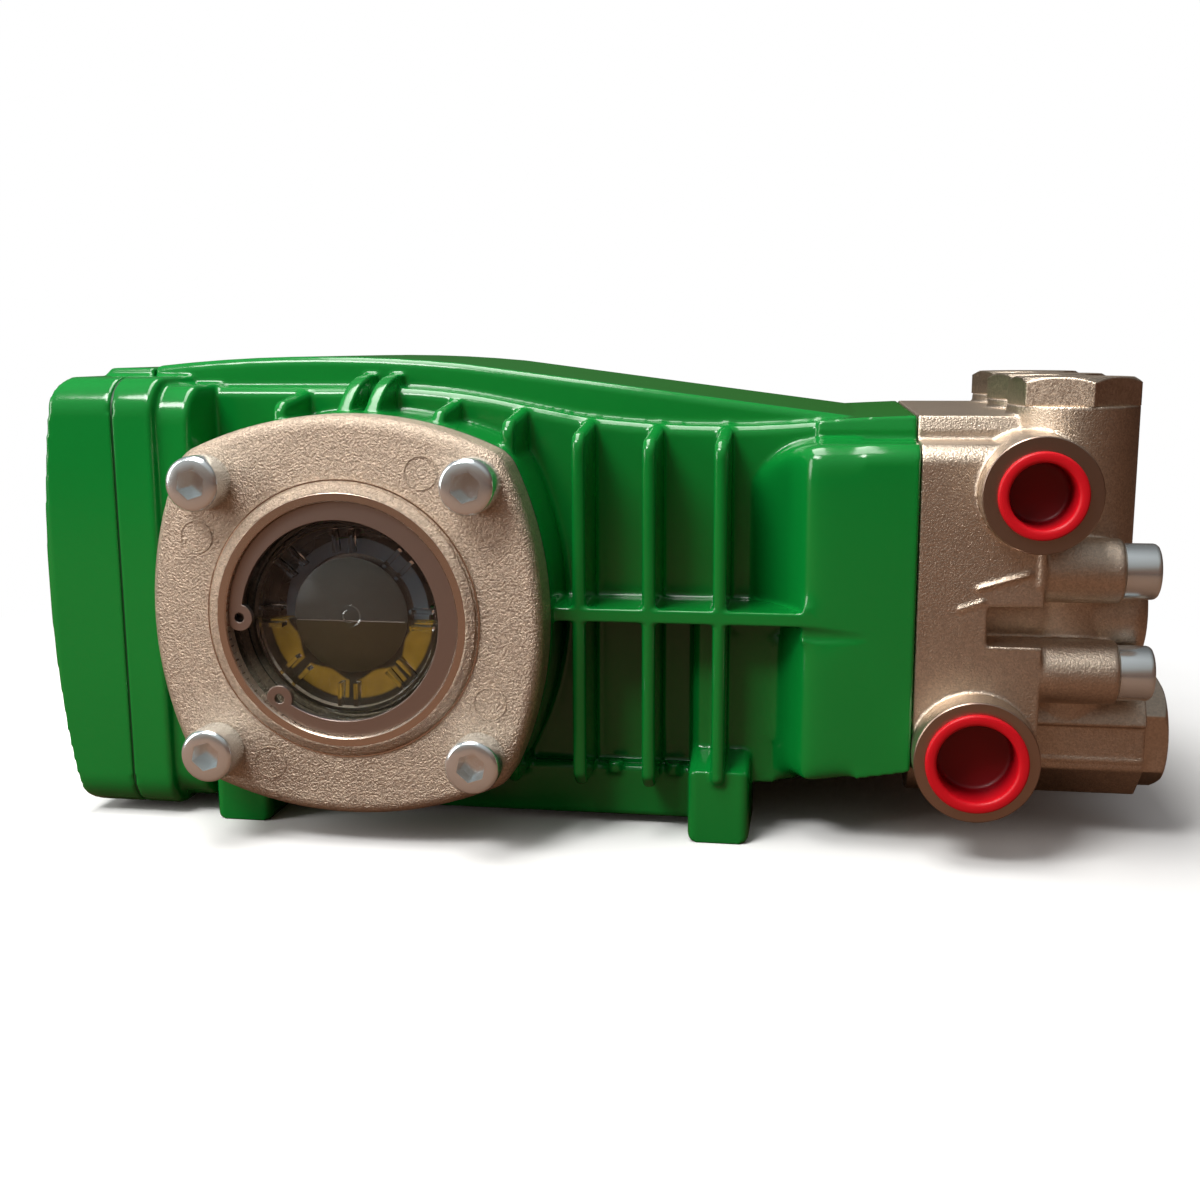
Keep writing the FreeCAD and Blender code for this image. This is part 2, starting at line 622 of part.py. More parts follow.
def front_block(name):
    """The flared end that carries the pump head, under the lip of the shelf."""
    flare = ("(front_block_rear + front_block_face) / 2 + front_block_hollow",
             "(case_half_width + wall_half_width) / 2 - front_block_hollow")
    outline = [
        ("head_seam", "case_half_width"),
        ("front_block_face", "case_half_width"),
        (flare[0], flare[1], "through"),
        ("front_block_rear", "wall_half_width"),
        ("front_block_rear", "-wall_half_width"),
        (flare[0], f"-({flare[1]})", "through"),
        ("front_block_face", "-case_half_width"),
        ("head_seam", "-case_half_width"),
    ]
    plan = extrude(f"{name}_plan", loose_sketch(f"{name}_outline", "XY_Plane", outline),
                   Vector(0, 0, 1), "4 * head_top")
    side = loose_sketch(f"{name}_side_outline", "XZ_Plane", [
        ("head_seam", "shoulder_height"),
        ("shoulder_level", "shoulder_height"),
        ("shoulder_bend", "shoulder_bend_height", "through"),
        ("front_block_rear", "shoulder_rear_height"),
        ("front_block_rear", "-front_block_bottom"),
        ("front_block_slope", "-front_block_bottom"),
        ("head_seam", "-head_bottom"),
    ])
    side_view = extrude(f"{name}_side", side, Vector(0, 1, 0), "3 * case_half_width")
    section = loose_sketch(f"{name}_section_outline", "YZ_Plane",
                           shouldered_outline("case_half_width", "head_corner"))
    section_view = extrude(f"{name}_section", section, Vector(1, 0, 0), "head_seam", False)
    lower = wide_box(f"{name}_lower", "front_block_rear", "head_seam", "case_half_width",
                     "-front_block_bottom", "0")
    flared = doc.addObject("Part::MultiCommon", name)
    flared.Shapes = [plan, side_view, fuse(f"{name}_whole_section", [section_view, lower])]
    lip = loose_sketch(f"{name}_lip_outline", "XZ_Plane", [
        ("head_seam", "head_top"),
        ("shoulder_level", "head_top"),
        ("shoulder_level", "0"),
        ("head_seam", "0"),
    ])
    lip_view = extrude(f"{name}_lip_side", lip, Vector(0, 1, 0), "2 * wall_half_width + 2 * lip_width")
    top = loose_sketch(f"{name}_top_outline", "XZ_Plane", [
        ("head_seam", "head_top"),
        ("block_front", "block_front_height - 0.2"),
        ("front_block_rear", "shelf_low_height"),
        ("front_block_rear", "0"),
        ("head_seam", "0"),
    ])
    top_view = extrude(f"{name}_top", top, Vector(0, 1, 0), "3 * case_half_width")
    lipped = doc.addObject("Part::MultiCommon", f"{name}_lip")
    lipped.Shapes = [lip_view, top_view, section_view]
    return [flared, lipped]


def build_crankcase():
    solids = []
    block = extrude("block_blank", loose_sketch("block_outline", "XZ_Plane", block_outline()),
                    Vector(0, 1, 0), "2 * block_half_width")
    solids.append(round_edges("block", block, "block_round", lambda edge: (
        abs(edge.BoundBox.YMax - edge.BoundBox.YMin) < 0.01 and edge.BoundBox.ZMin > value_of("block_front_height") - 1)))
    shelf = extrude("shelf_blank", loose_sketch("shelf_outline", "XZ_Plane", shelf_outline()),
                    Vector(0, 1, 0), "2 * wall_half_width")
    solids.append(round_edges("shelf", shelf, "shelf_round", lambda edge: (
        abs(edge.BoundBox.YMax - edge.BoundBox.YMin) < 0.01 and edge.BoundBox.ZMin > value_of("shelf_low_height") - 1)))
    skirt = wide_box("skirt_blank", "-skirt_rear", "skirt_front", "skirt_half_width", "-case_bottom", "-skirt_top")
    solids.append(round_edges("skirt", skirt, "rib_round"))
    pilaster = wide_box("pilaster_blank", "front_foot_rear", "front_block_face", "pilaster_half_width",
                        "-rib_bottom", "0")
    solids.append(round_edges("pilaster", pilaster, "pilaster_round", lambda edge: (
        edge.BoundBox.ZLength > 1 and edge.BoundBox.XMax < value_of("front_foot_rear") + 0.01)))
    rear = loose_sketch("rear_flange_outline", "YZ_Plane",
                        rounded_outline("case_half_width", "rear_flange_top", "rear_bottom", "rear_corner"))
    flange = round_edges("rear_flange", extrude("rear_flange_blank", rear, Vector(1, 0, 0), "rear_flange_depth", False),
                         "rib_round", lambda edge: edge.BoundBox.XMin > value_of("rear_flange_depth") - 0.01)
    solids.append(put(flange, ("-rear_seam", "0", "0")))
    step = loose_sketch("rear_step_outline", "YZ_Plane", rounded_outline(
        "case_half_width - rear_step_drop", "rear_step_top", "rear_bottom - rear_step_drop", "rear_corner"))
    step_solid = round_edges("rear_step", extrude("rear_step_blank", step, Vector(1, 0, 0), "rear_step_depth", False),
                             "rib_round", lambda edge: edge.BoundBox.XMin > value_of("rear_step_depth") - 0.01)
    solids.append(put(step_solid, ("-rear_seam", "0", "0")))
    solids.append(extrude("bearing_bosses", loose_sketch("boss_outline", "XZ_Plane", COVER_OUTLINE),
                          Vector(0, 1, 0), "2 * cover_seat"))
    level = wide_box("level_rib_blank", "0", "front_block_face + rib_thickness", "case_half_width",
                     "-rib_thickness / 2", "rib_thickness / 2")
    solids.append(round_edges("level_rib", level, "rib_round"))
    solids += front_block("front_block")
    for index in range(int(value_of("rib_count"))):
        position = f"rib_first + {index} * rib_pitch"
        solids.append(side_rib(f"side_rib_{index + 1}", position, f"{shelf_at(position)} - rib_drop"))
    solids.append(side_rib("rear_side_rib", "-rear_rib", "shelf_height - rib_drop"))
    for side, word in ((-1, "rear"), (1, "front")):
        solids.append(tall_fin(f"tall_fin_{word}", f"{side} * fin_spacing / 2"))
    for word, centre in (("rear", "-rear_foot_offset"), ("front", "front_foot_offset")):
        for side, hand in ((-1, "near"), (1, "far")):
            solids += foot(f"foot_{word}_{hand}", centre, side)
    casting = fuse("casting", solids)
    holes = [
        cylinder("crank_chamber", "crank_bore_radius", "2 * cover_seat", ("0", "-cover_seat", "0"), ALONG_Y),
    ]
    tap_depth = "cover_screw_reach + tap_spare"
    for side, word in ((-1, "near"), (1, "far")):
        start = "-cover_seat" if side < 0 else "bearing_back - running_gap"
        holes.append(cylinder(f"bearing_seat_{word}", "bearing_outer_radius + thread_clearance",
                              "cover_seat - bearing_back + running_gap", ("0", start, "0"), ALONG_Y))
        tap_start = "-cover_seat" if side < 0 else f"cover_seat - ({tap_depth})"
        for index, (across, up) in enumerate(COVER_SCREW_PLACES):
            holes.append(cylinder(f"cover_hole_{word}_{index}", "bolt_radius + thread_clearance", tap_depth,
                                  (across, tap_start, up), ALONG_Y))
    for word, centre in (("rear", "-rear_foot_offset"), ("front", "front_foot_offset")):
        for side, hand in ((-1, "near"), (1, "far")):
            holes.append(cylinder(f"foot_hole_{word}_{hand}", "foot_hole_radius", "foot_hole_depth",
                                  (centre, f"{side} * foot_spacing_wide / 2", "-crank_height"), UPRIGHT))
    for index, (across, up) in enumerate(BOLT_PLACES):
        holes.append(cylinder(f"head_bolt_hole_{index}", "bolt_radius + thread_clearance", "bolt_reach + tap_spare",
                              ("head_seam - bolt_reach - tap_spare", across, up), ALONG_X))
    for index, (across, up) in enumerate(REAR_SCREW_PLACES):
        holes.append(cylinder(f"rear_screw_hole_{index}", "rear_screw_radius + thread_clearance",
                              "rear_screw_length - rear_clamp + tap_spare", ("-rear_seam", across, up), ALONG_X))
    crankcase = cut("crankcase_cut", casting, fuse("crankcase_holes", holes))
    sub_part(crankcase, "crankcase")


COVER_SCREW_PLACES = [(f"{across} * screw_half_pitch", f"{up} * screw_half_pitch")
                      for up in (1, -1) for across in (-1, 1)]
BOLT_PLACES = [(f"{across} * bolt_across / 3", f"{up} * bolt_row_height")
               for up in (1, -1) for across in (-3, -1, 1, 3)]
REAR_SCREW_PLACES = [(f"{side} * {across}", up) for up in ("rear_screw_up", "-rear_screw_down")
                     for across in ("rear_screw_across", "rear_screw_inner") for side in (-1, 1)]


# Rear cover with its gasket and recessed screws

def build_rear_cover():
    rim_place = "-rear_cover_seat - rear_cover_edge"
    side = loose_sketch("rear_cover_side", "XZ_Plane", [
        ("-rear_cover_seat", "rear_flange_top + rear_cover_draft"),
        (f"{rim_place} + 5", "rear_flange_top + rear_cover_draft"),
        (f"{rim_place} + 1.6", "rear_flange_top - 2.5", "through"),
        (f"{rim_place} + 0.4", "rear_flange_top - 9"),
        ("-rear_cover_seat - rear_cover_depth", "0", "through"),
        (f"{rim_place} + 2", "-rear_bottom + 6"),
        (f"{rim_place} + 2.6", "-rear_bottom + 2.5", "through"),
        (f"{rim_place} + 6", "-rear_bottom"),
        ("-rear_cover_seat", "-rear_bottom - rear_cover_draft"),
    ])
    side_view = extrude("rear_cover_side_view", side, Vector(0, 1, 0), "3 * case_half_width")
    back = loose_sketch("rear_cover_back", "YZ_Plane",
                        rounded_outline("case_half_width", "rear_flange_top", "rear_bottom", "rear_corner"))
    blank = extrude("rear_cover_blank", back, Vector(1, 0, 0), "rear_cover_depth + rear_cover_draft", False)
    rim = round_edges("rear_cover_rim", blank, "rear_corner / 2", lambda edge: edge.BoundBox.XMax < 0.01)
    put(rim, ("-rear_cover_seat - rear_cover_depth - rear_cover_draft", "0", "0"))
    middle = wide_box("rear_cover_middle", "-rear_cover_seat - rear_cover_edge", "-rear_cover_seat",
                      "block_half_width", "0", "block_rear_height")
    outline = fuse("rear_cover_outline", [rim, middle])
    body = doc.addObject("Part::MultiCommon", "rear_cover_body")
    body.Shapes = [side_view, outline]
    holes = []
    for index, (across, up) in enumerate(REAR_SCREW_PLACES):
        holes.append(cylinder(f"rear_cover_hole_{index}", "rear_screw_radius + thread_clearance",
                              "rear_cover_depth + rear_cover_draft",
                              ("-rear_cover_seat - rear_cover_depth - rear_cover_draft", across, up), ALONG_X))
        holes.append(cylinder(f"rear_cover_recess_{index}", "rear_screw_radius * 2", "rear_cover_depth",
                              ("-rear_cover_seat - rear_clamp - rear_cover_depth", across, up), ALONG_X))
    sub_part(cut("rear_cover_cut", body, fuse("rear_cover_holes", holes)), "rear_cover")
    gasket_sketch = loose_sketch("rear_gasket_outline", "YZ_Plane", rounded_outline(
        "case_half_width - gasket_inset", "rear_flange_top - gasket_inset",
        "rear_bottom - gasket_inset", "rear_corner"))
    gasket = extrude("rear_gasket", gasket_sketch, Vector(1, 0, 0), "gasket_thickness", False)
    put(gasket, ("-rear_cover_seat", "0", "0"))
    gasket_holes = [cylinder(f"rear_gasket_hole_{index}", "rear_screw_radius + thread_clearance",
                             "3 * gasket_thickness", ("-rear_cover_seat - gasket_thickness", across, up), ALONG_X)
                    for index, (across, up) in enumerate(REAR_SCREW_PLACES)]
    sub_part(cut("rear_gasket_cut", gasket, fuse("rear_gasket_holes", gasket_holes)), "rear_cover_gasket")
    screws = []
    for index, (across, up) in enumerate(REAR_SCREW_PLACES):
        head_at = ("-rear_cover_seat - rear_clamp - rear_screw_head", across, up)
        head = cylinder(f"rear_head_{index}", "rear_screw_radius * 5 / 3", "rear_screw_head", head_at, ALONG_X)
        shank = cylinder(f"rear_shank_{index}", "rear_screw_radius", "rear_screw_length",
                         ("-rear_cover_seat - rear_clamp", across, up), ALONG_X)
        key = hexagon(f"rear_key_{index}", "rear_screw_key", "rear_screw_head / 2", head_at, ALONG_X)
        screws.append(cut(f"rear_screw_{index}", fuse(f"rear_screw_blank_{index}", [head, shank]), key))
    sub_part(fuse("rear_screws", screws), "rear_cover_screws")


# Bearing covers: a bowed square plate with round corners

def cover_plate(body, name):
    """The plate of a bearing cover, its back on the body's middle plane, front to +Y or -Y."""
    sketch = body_sketch(body, "XZ_Plane", f"{name}_outline", COVER_OUTLINE)
    pad = body.newObject("PartDesign::Pad", f"{name}_plate")
    pad.Profile = sketch
    bind(pad, "Length", "cover_thickness")
    doc.recompute()
    front = max(pad.Shape.Faces, key=lambda face: -face.CenterOfMass.y)
    edges = [f"Edge{number}" for number, edge in enumerate(pad.Shape.Edges, 1)
             if any(edge.isSame(other) for other in front.Edges)]
    rounding = body.newObject("PartDesign::Fillet", f"{name}_round")
    rounding.Base = (pad, edges)
    bind(rounding, "Radius", "cover_round")
    return rounding


def screw_holes(body, name):
    """The four screw holes of a bearing cover."""
    plane = next(item for item in body.Origin.OriginFeatures if item.Role == "XZ_Plane")
    sketch = body.newObject("Sketcher::SketchObject", f"{name}_circles")
    sketch.AttachmentSupport = [(plane, "")]
    sketch.MapMode = "FlatFace"
    bind(sketch, "AttachmentOffset.Base.z", "cover_thickness")
    radius = "bolt_radius + thread_clearance"
    for across, up in COVER_SCREW_PLACES:
        centre = Vector(value_of(across), value_of(up), 0)
        index = sketch.addGeometry(Part.Circle(centre, Vector(0, 0, 1), value_of(radius)), False)
        constrain_point(sketch, index, 3, across, up)
        number = sketch.addConstraint(Sketcher.Constraint("Radius", index, value_of(radius)))
        sketch.setExpression(f"Constraints[{number}]", formula(radius))
    pocket = body.newObject("PartDesign::Pocket", name)
    pocket.Profile = sketch
    bind(pocket, "Length", "2 * cover_thickness")
    return pocket


def turned(body, role, name, outline):
    """Adds or cuts a ring about the body's Y axis; the outline holds radius and depth."""
    sketch = body_sketch(body, "XY_Plane", f"{name}_profile", outline)
    feature = body.newObject(f"PartDesign::{role}", name)
    feature.Profile = sketch
    feature.ReferenceAxis = (sketch, ["V_Axis"])
    feature.Angle = 360
    return feature


def build_sight_cover():
    body = new_body("sight_side_bearing_cover")
    cover_plate(body, "sight_cover")
    face = "-cover_thickness"
    front = "-cover_thickness - ring_rise"
    land = "ring_radius - ring_step - ring_chamfer"
    turned(body, "Revolution", "machined_ring", [
        ("ring_radius", f"{face} + ring_step"),
        ("ring_radius", f"{face} - ring_step / 2"),
        ("ring_radius - ring_step", f"{face} - ring_step / 2"),
        ("ring_radius - ring_step", f"{front} + ring_chamfer / 2"),
        (land, front),
        ("view_radius", front),
        ("view_radius", f"{face} + ring_step"),
    ])
    turned(body, "Groove", "glass_bore", [
        ("0", f"{front} - 1"),
        ("glass_bore_radius + bore_chamfer", f"{front} - 1"),
        ("glass_bore_radius + bore_chamfer", front),
        ("glass_bore_radius", f"{front} + bore_chamfer"),
        ("glass_bore_radius", "-glass_seat"),
        ("view_radius", "-glass_seat"),
        ("view_radius", "1"),
        ("0", "1"),
    ])
    screw_holes(body, "sight_screw_holes")
    sub_part(body, "sight_side_bearing_cover", set_out(y="-cover_back"))


def build_drive_cover():
    body = new_body("drive_side_bearing_cover")
    cover_plate(body, "drive_cover")
    face = "-cover_thickness"
    front = "-cover_thickness - ring_rise"
    turned(body, "Revolution", "seal_boss", [
        ("ring_radius - drive_ring_inset", f"{face} + ring_step"),
        ("ring_radius - drive_ring_inset", f"{front} + ring_chamfer / 2"),
        ("ring_radius - drive_ring_inset - ring_chamfer / 2", front),
        ("crank_bore_radius", front),
        ("crank_bore_radius", f"{face} + ring_step"),
    ])
    turned(body, "Groove", "seal_bore", [
        ("0", f"{front} - 1"),
        ("seal_radius + thread_clearance", f"{front} - 1"),
        ("seal_radius + thread_clearance", f"{front} + seal_width"),
        ("crank_bore_radius", f"{front} + seal_width"),
        ("crank_bore_radius", "1"),
        ("0", "1"),
    ])
    screw_holes(body, "drive_screw_holes")
    sub_part(body, "drive_side_bearing_cover", set_out(y="cover_back"), Rotation(Vector(0, 0, 1), 180))


def cap_screw(name, length):
    """A socket cap screw along its own Z: the head's seat at zero, the shank upwards."""
    head = cylinder(f"{name}_head_blank", "bolt_head_radius", "bolt_head_height", ("0", "0", "-bolt_head_height"), UPRIGHT)
    rounded = round_edges(f"{name}_head", head, "bolt_head_round",
                          lambda edge: edge.BoundBox.ZMax < 0.01 - value_of("bolt_head_height"))
    shank = cylinder(f"{name}_shank", "bolt_radius", length, ("0", "0", "0"), UPRIGHT)
    blank = fuse(f"{name}_blank", [rounded, shank])
    key = hexagon(f"{name}_key", "bolt_hexagon", "bolt_head_height / 2", ("0", "0", "-bolt_head_height"), UPRIGHT)
    return cut(f"{name}_solid", blank, key)


def build_cover_screws():
    for number, (across, up) in enumerate(COVER_SCREW_PLACES, 1):
        for word, front, turn in (("sight", "-cover_front", ALONG_Y), ("drive", "cover_front", ALONG_MINUS_Y)):
            label = f"{word}_side_cover_screw_{number}"
            screw = cap_screw(label, "cover_thickness + gasket_thickness + cover_screw_reach")
            sub_part(screw, label, set_out(across, front, up), turn)


# Sight glass with its retaining ring, and the bearing that shows through it

def build_sight_glass():
    body = new_body("sight_glass")
    profile = body_sketch(body, "XZ_Plane", "sight_glass_profile", [
        ("0", "glass_dish_depth"),
        ("glass_dish_radius", "glass_dish_depth"),
        ("glass_dish_radius + glass_dish_slope", "0"),
        ("glass_radius", "0"),
        ("glass_radius", "glass_thickness"),
        ("0", "glass_thickness"),
    ])
    revolve("sight_glass_disc", body, profile)
    sub_part(body, "sight_glass", set_out(y="-glass_front"), ALONG_Y)


def build_circlip():
    """An open ring with a holed lug at each end, seen from the front with its lugs at the left."""
    thick = "circlip_thickness"
    outer = cylinder("circlip_outer", "glass_bore_radius - thread_clearance", thick, ("0", "0", "0"), UPRIGHT)
    middle_angle = "(circlip_first_angle + circlip_gap_angle / 2)"
    inner = cylinder("circlip_inner", "circlip_inner_radius", "3 * circlip_thickness",
                     (f"circlip_offset * cos({middle_angle})", f"-circlip_offset * sin({middle_angle})",
                      "-circlip_thickness"), UPRIGHT)
    open_ring = cut("circlip_ring", outer, inner)
    reach = "glass_bore_radius * 1.5"
    wedge = extrude("circlip_gap", loose_sketch("circlip_gap_outline", "XY_Plane", [
        ("0", "0"),
        (f"{reach} * cos(circlip_first_angle)", f"-{reach} * sin(circlip_first_angle)"),
        (f"{reach} * cos(circlip_first_angle + circlip_gap_angle)",
         f"-{reach} * sin(circlip_first_angle + circlip_gap_angle)"),
    ]), Vector(0, 0, 1), "3 * circlip_thickness")
    opened = cut("circlip_opened", open_ring, wedge)
    lugs = []
    holes = []
    for word, angle in (("first", "circlip_first_angle"), ("second", "(circlip_first_angle + circlip_gap_angle)")):
        at = (f"circlip_lug_circle * cos({angle})", f"-circlip_lug_circle * sin({angle})", "0")
        lugs.append(cylinder(f"circlip_lug_{word}", "circlip_lug_radius", thick, at, UPRIGHT))
        hole_at = at[:2] + ("-circlip_thickness",)
        holes.append(cylinder(f"circlip_hole_{word}", "circlip_hole_radius", "3 * circlip_thickness", hole_at, UPRIGHT))
    trimmed = doc.addObject("Part::MultiCommon", "circlip_lugs")
    trimmed.Shapes = [fuse("circlip_lug_pair", lugs), outer]
    whole = fuse("circlip_whole", [opened, trimmed])
    circlip = cut("circlip_cut", whole, fuse("circlip_holes", holes))
    sub_part(circlip, "sight_glass_circlip", set_out(y="-ring_front + circlip_set_back"), ALONG_Y)


def ring(name, outer_radius, inner_radius, width):
    outer = cylinder(f"{name}_outer", outer_radius, width, ("0", "0", "0"), UPRIGHT)
    inner = cylinder(f"{name}_inner", inner_radius, f"({width}) + 2", ("0", "0", "-1"), UPRIGHT)
    return cut(f"{name}_ring", outer, inner)


def build_bearings():
    cup = ring("sight_cup", "bearing_outer_radius", "bearing_cup_radius", "bearing_width")
    sub_part(cup, "sight_side_bearing_outer_ring", set_out(y="-bearing_front"), ALONG_Y)
    whole = ring("drive_bearing", "bearing_outer_radius", "bearing_inner_radius + running_gap", "bearing_width")
    sub_part(whole, "drive_side_bearing", set_out(y="bearing_back"), ALONG_Y)
    cone = ring("sight_cone", "bearing_cone_radius", "bearing_inner_radius + thread_clearance", "bearing_width")
    sub_part(cone, "sight_side_bearing_inner_ring", set_out(y="-bearing_front"), ALONG_Y)
    cage = ring("sight_cage", "roller_circle + cage_thickness / 2", "roller_circle - cage_thickness / 2",
                "bearing_width - 2 * cage_inset")
    put(cage, ("0", "0", "cage_inset"))
    rollers = [cage]
    count = int(value_of("roller_count"))
    for index in range(count):
        angle = f"{360 * index / count}"
        rollers.append(cylinder(f"roller_{index}", "roller_radius", "bearing_width - 2 * roller_inset",
                                (f"roller_circle * cos({angle})", f"roller_circle * sin({angle})", "roller_inset"),
                                UPRIGHT))
    sub_part(fuse("sight_rollers", rollers), "sight_side_bearing_rollers", set_out(y="-bearing_front"), ALONG_Y)


def build_crankshaft():
    """The shaft along its own Z, from the blind end at the sight glass."""
    main = cylinder("crank_main", "bearing_inner_radius", "2 * bearing_front - 2 * crank_end_gap",
                    ("0", "0", "crank_end_gap"), UPRIGHT)
    sealed = cylinder("crank_sealed", "seal_shaft_radius", "ring_front + bearing_front - crank_end_gap",
                      ("0", "0", "crank_end_gap"), UPRIGHT)
    end = cylinder("crank_end", "shaft_radius", "shaft_end + bearing_front - crank_end_gap",
                   ("0", "0", "crank_end_gap"), UPRIGHT)
    blank = fuse("crank_blank", [main, sealed, end])
    keyway = box("crank_keyway", ("0", "0", "0"), ("key_width", "2 * key_depth", "2 * key_length"))
    floor_place = "(shaft_radius - key_depth)"
    put(keyway, (f"-({floor_place} + key_width / 2) * cos(45)", f"({floor_place} - key_width / 2) * cos(45)",
                 "shaft_end + bearing_front - key_length"), Rotation(Vector(0, 0, 1), 45))
    dimple = doc.addObject("Part::Cone", "crank_centre_hole")
    bind(dimple, "Radius1", "centre_hole_radius")
    dimple.Radius2 = 0
    bind(dimple, "Height", "centre_hole_depth")
    put(dimple, ("0", "0", "crank_end_gap"))
    shaft = cut("crank_cut", blank, fuse("crank_cuts", [keyway, dimple]))
    sub_part(shaft, "crankshaft", set_out(y="-bearing_front"), ALONG_Y)


def build_shaft_seal():
    seal = ring("seal", "seal_radius", "seal_shaft_radius + running_gap", "seal_width")
    sub_part(seal, "shaft_seal", set_out(y="ring_front - seal_width"), ALONG_Y)


def build_cover_gaskets():
    for word, start in (("sight", "-cover_back"), ("drive", "cover_seat")):
        sheet_solid = extrude(f"{word}_gasket", loose_sketch(f"{word}_gasket_outline", "XZ_Plane", COVER_OUTLINE),
                              Vector(0, 1, 0), "gasket_thickness", False)
        put(sheet_solid, ("0", start, "0"))
        holes = [cylinder(f"{word}_gasket_bore", "bearing_outer_radius + gasket_inset", "3 * gasket_thickness",
                          ("0", f"{start} - gasket_thickness", "0"), ALONG_Y)]
        for index, (across, up) in enumerate(COVER_SCREW_PLACES):
            holes.append(cylinder(f"{word}_gasket_hole_{index}", "bolt_radius + thread_clearance",
                                  "3 * gasket_thickness", (across, f"{start} - gasket_thickness", up), ALONG_Y))
        gasket = cut(f"{word}_gasket_cut", sheet_solid, fuse(f"{word}_gasket_holes", holes))
        sub_part(gasket, f"{word}_side_cover_gasket")


# Pump head with its ports, valve towers and bolt bosses

def build_pump_head():
    section = loose_sketch("head_block_outline", "YZ_Plane", shouldered_outline("head_half_width", "head_corner"))
    block = extrude("head_block", section, Vector(1, 0, 0), "head_block_depth", False)
    put(block, ("head_seam", "0", "0"))
    pocket = wide_box("head_pocket", "pocket_rear", "head_block_end + 1", "2 * head_half_width",
                      "-pocket_bottom", "pocket_top")
    solids = [cut("head_pocketed", block, pocket)]
    for index, (across, up) in enumerate(BOLT_PLACES):
        boss = cylinder(f"bolt_boss_{index}_blank", "bolt_boss_radius", "bolt_boss_length",
                        ("0", "0", "0"), ALONG_X)
        boss = round_edges(f"bolt_boss_{index}", boss, "bolt_boss_round", lambda edge: edge.BoundBox.XMin > 1)
        solids.append(put(boss, ("head_seam", across, up)))
    for word, radius, x, z in (("outlet", "outlet_boss_radius", "outlet_x", "outlet_height"),
                               ("inlet", "inlet_boss_radius", "inlet_x", "-inlet_depth")):
        solids.append(cylinder(f"{word}_gallery", radius, "2 * port_face", (x, "-port_face", z), ALONG_Y))
    for index in (-1, 0, 1):
        across = f"{index} * plunger_pitch"
        solids.append(cylinder(f"tower_{index}", "tower_radius", "tower_top + inlet_depth",
                               ("tower_x", across, "-inlet_depth"), UPRIGHT))
        solids.append(cylinder(f"suction_housing_{index}", "suction_radius", "suction_length",
                               ("head_seam", across, "-inlet_depth"), ALONG_X))
        chamber = cylinder(f"plunger_chamber_{index}_blank", "core_radius", "core_length",
                           ("0", "0", "0"), ALONG_X)
        chamber = round_edges(f"plunger_chamber_{index}", chamber, "shoulder_round",
                              lambda edge: edge.BoundBox.XMin > 1)
        solids.append(put(chamber, ("head_seam", across, "0")))
    casting = fuse("head_casting", solids)
    behind = wide_box("behind_head_seam", "head_seam - inlet_boss_radius", "head_seam", "2 * port_face",
                      "-crank_height", "crank_height")
    holes = [behind]
    for index, (across, up) in enumerate(BOLT_PLACES):
        holes.append(cylinder(f"head_bolt_bore_{index}", "bolt_radius + thread_clearance", "2 * bolt_boss_length",
                              ("head_seam - bolt_boss_length", across, up), ALONG_X))
        holes.append(cylinder(f"head_bolt_seat_{index}", "bolt_seat_radius", "2 * bolt_head_height",
                              ("bolt_boss_end", across, up), ALONG_X))
    for word, bore, x, z in (("outlet", "outlet_bore_radius", "outlet_x", "outlet_height"),
                             ("inlet", "inlet_bore_radius", "inlet_x", "-inlet_depth")):
        holes.append(cylinder(f"{word}_port_near", bore, "port_depth", (x, "-port_face", z), ALONG_Y))
        holes.append(cylinder(f"{word}_port_far", bore, "port_depth", (x, "port_face - port_depth", z), ALONG_Y))
    sub_part(cut("head_cut", casting, fuse("head_holes", holes)), "pump_head")


def build_port_caps():
    for word, radius, x, z in (("outlet", "outlet_cap_radius", "outlet_x", "outlet_height"),
                               ("inlet", "inlet_cap_radius", "inlet_x", "-inlet_depth")):
        for hand, side, turn in (("sight", "-", ALONG_Y), ("drive", "", ALONG_MINUS_Y)):
            body = new_body(f"{word}_port_cap_{hand}_side")
            rim = f"{radius} + cap_rim"
            profile = body_sketch(body, "XZ_Plane", f"{word}_{hand}_cap_profile", [
                (f"{radius} - cap_wall", "-cap_rim_height"),
                (rim, "-cap_rim_height"),
                (rim, "0"),
                (radius, "0"),
                (radius, "cap_depth + cap_wall - cap_rim_height"),
                ("0", "cap_depth + cap_wall - cap_rim_height"),
                ("0", "cap_depth - cap_rim_height"),
                (f"{radius} - cap_wall", "cap_depth - cap_rim_height"),
            ])
            revolve(f"{word}_{hand}_cap_turned", body, profile)
            sub_part(body, f"{word}_port_cap_{hand}_side", set_out(x, f"{side}port_face", z), turn)


def hexagon_cap(name, key_width, height):
    """A hexagon with the upper corners chamfered, standing on its own Z plane."""
    blank = hexagon(f"{name}_blank", key_width, height, ("0", "0", "0"), UPRIGHT)
    cone = doc.addObject("Part::Cone", f"{name}_cone")
    bind(cone, "Radius1", f"({key_width}) / 2 + ({height}) / tan(hexagon_chamfer)")
    bind(cone, "Radius2", f"({key_width}) / 2")
    bind(cone, "Height", height)
    cap = doc.addObject("Part::MultiCommon", name)
    cap.Shapes = [blank, cone]
    return cap


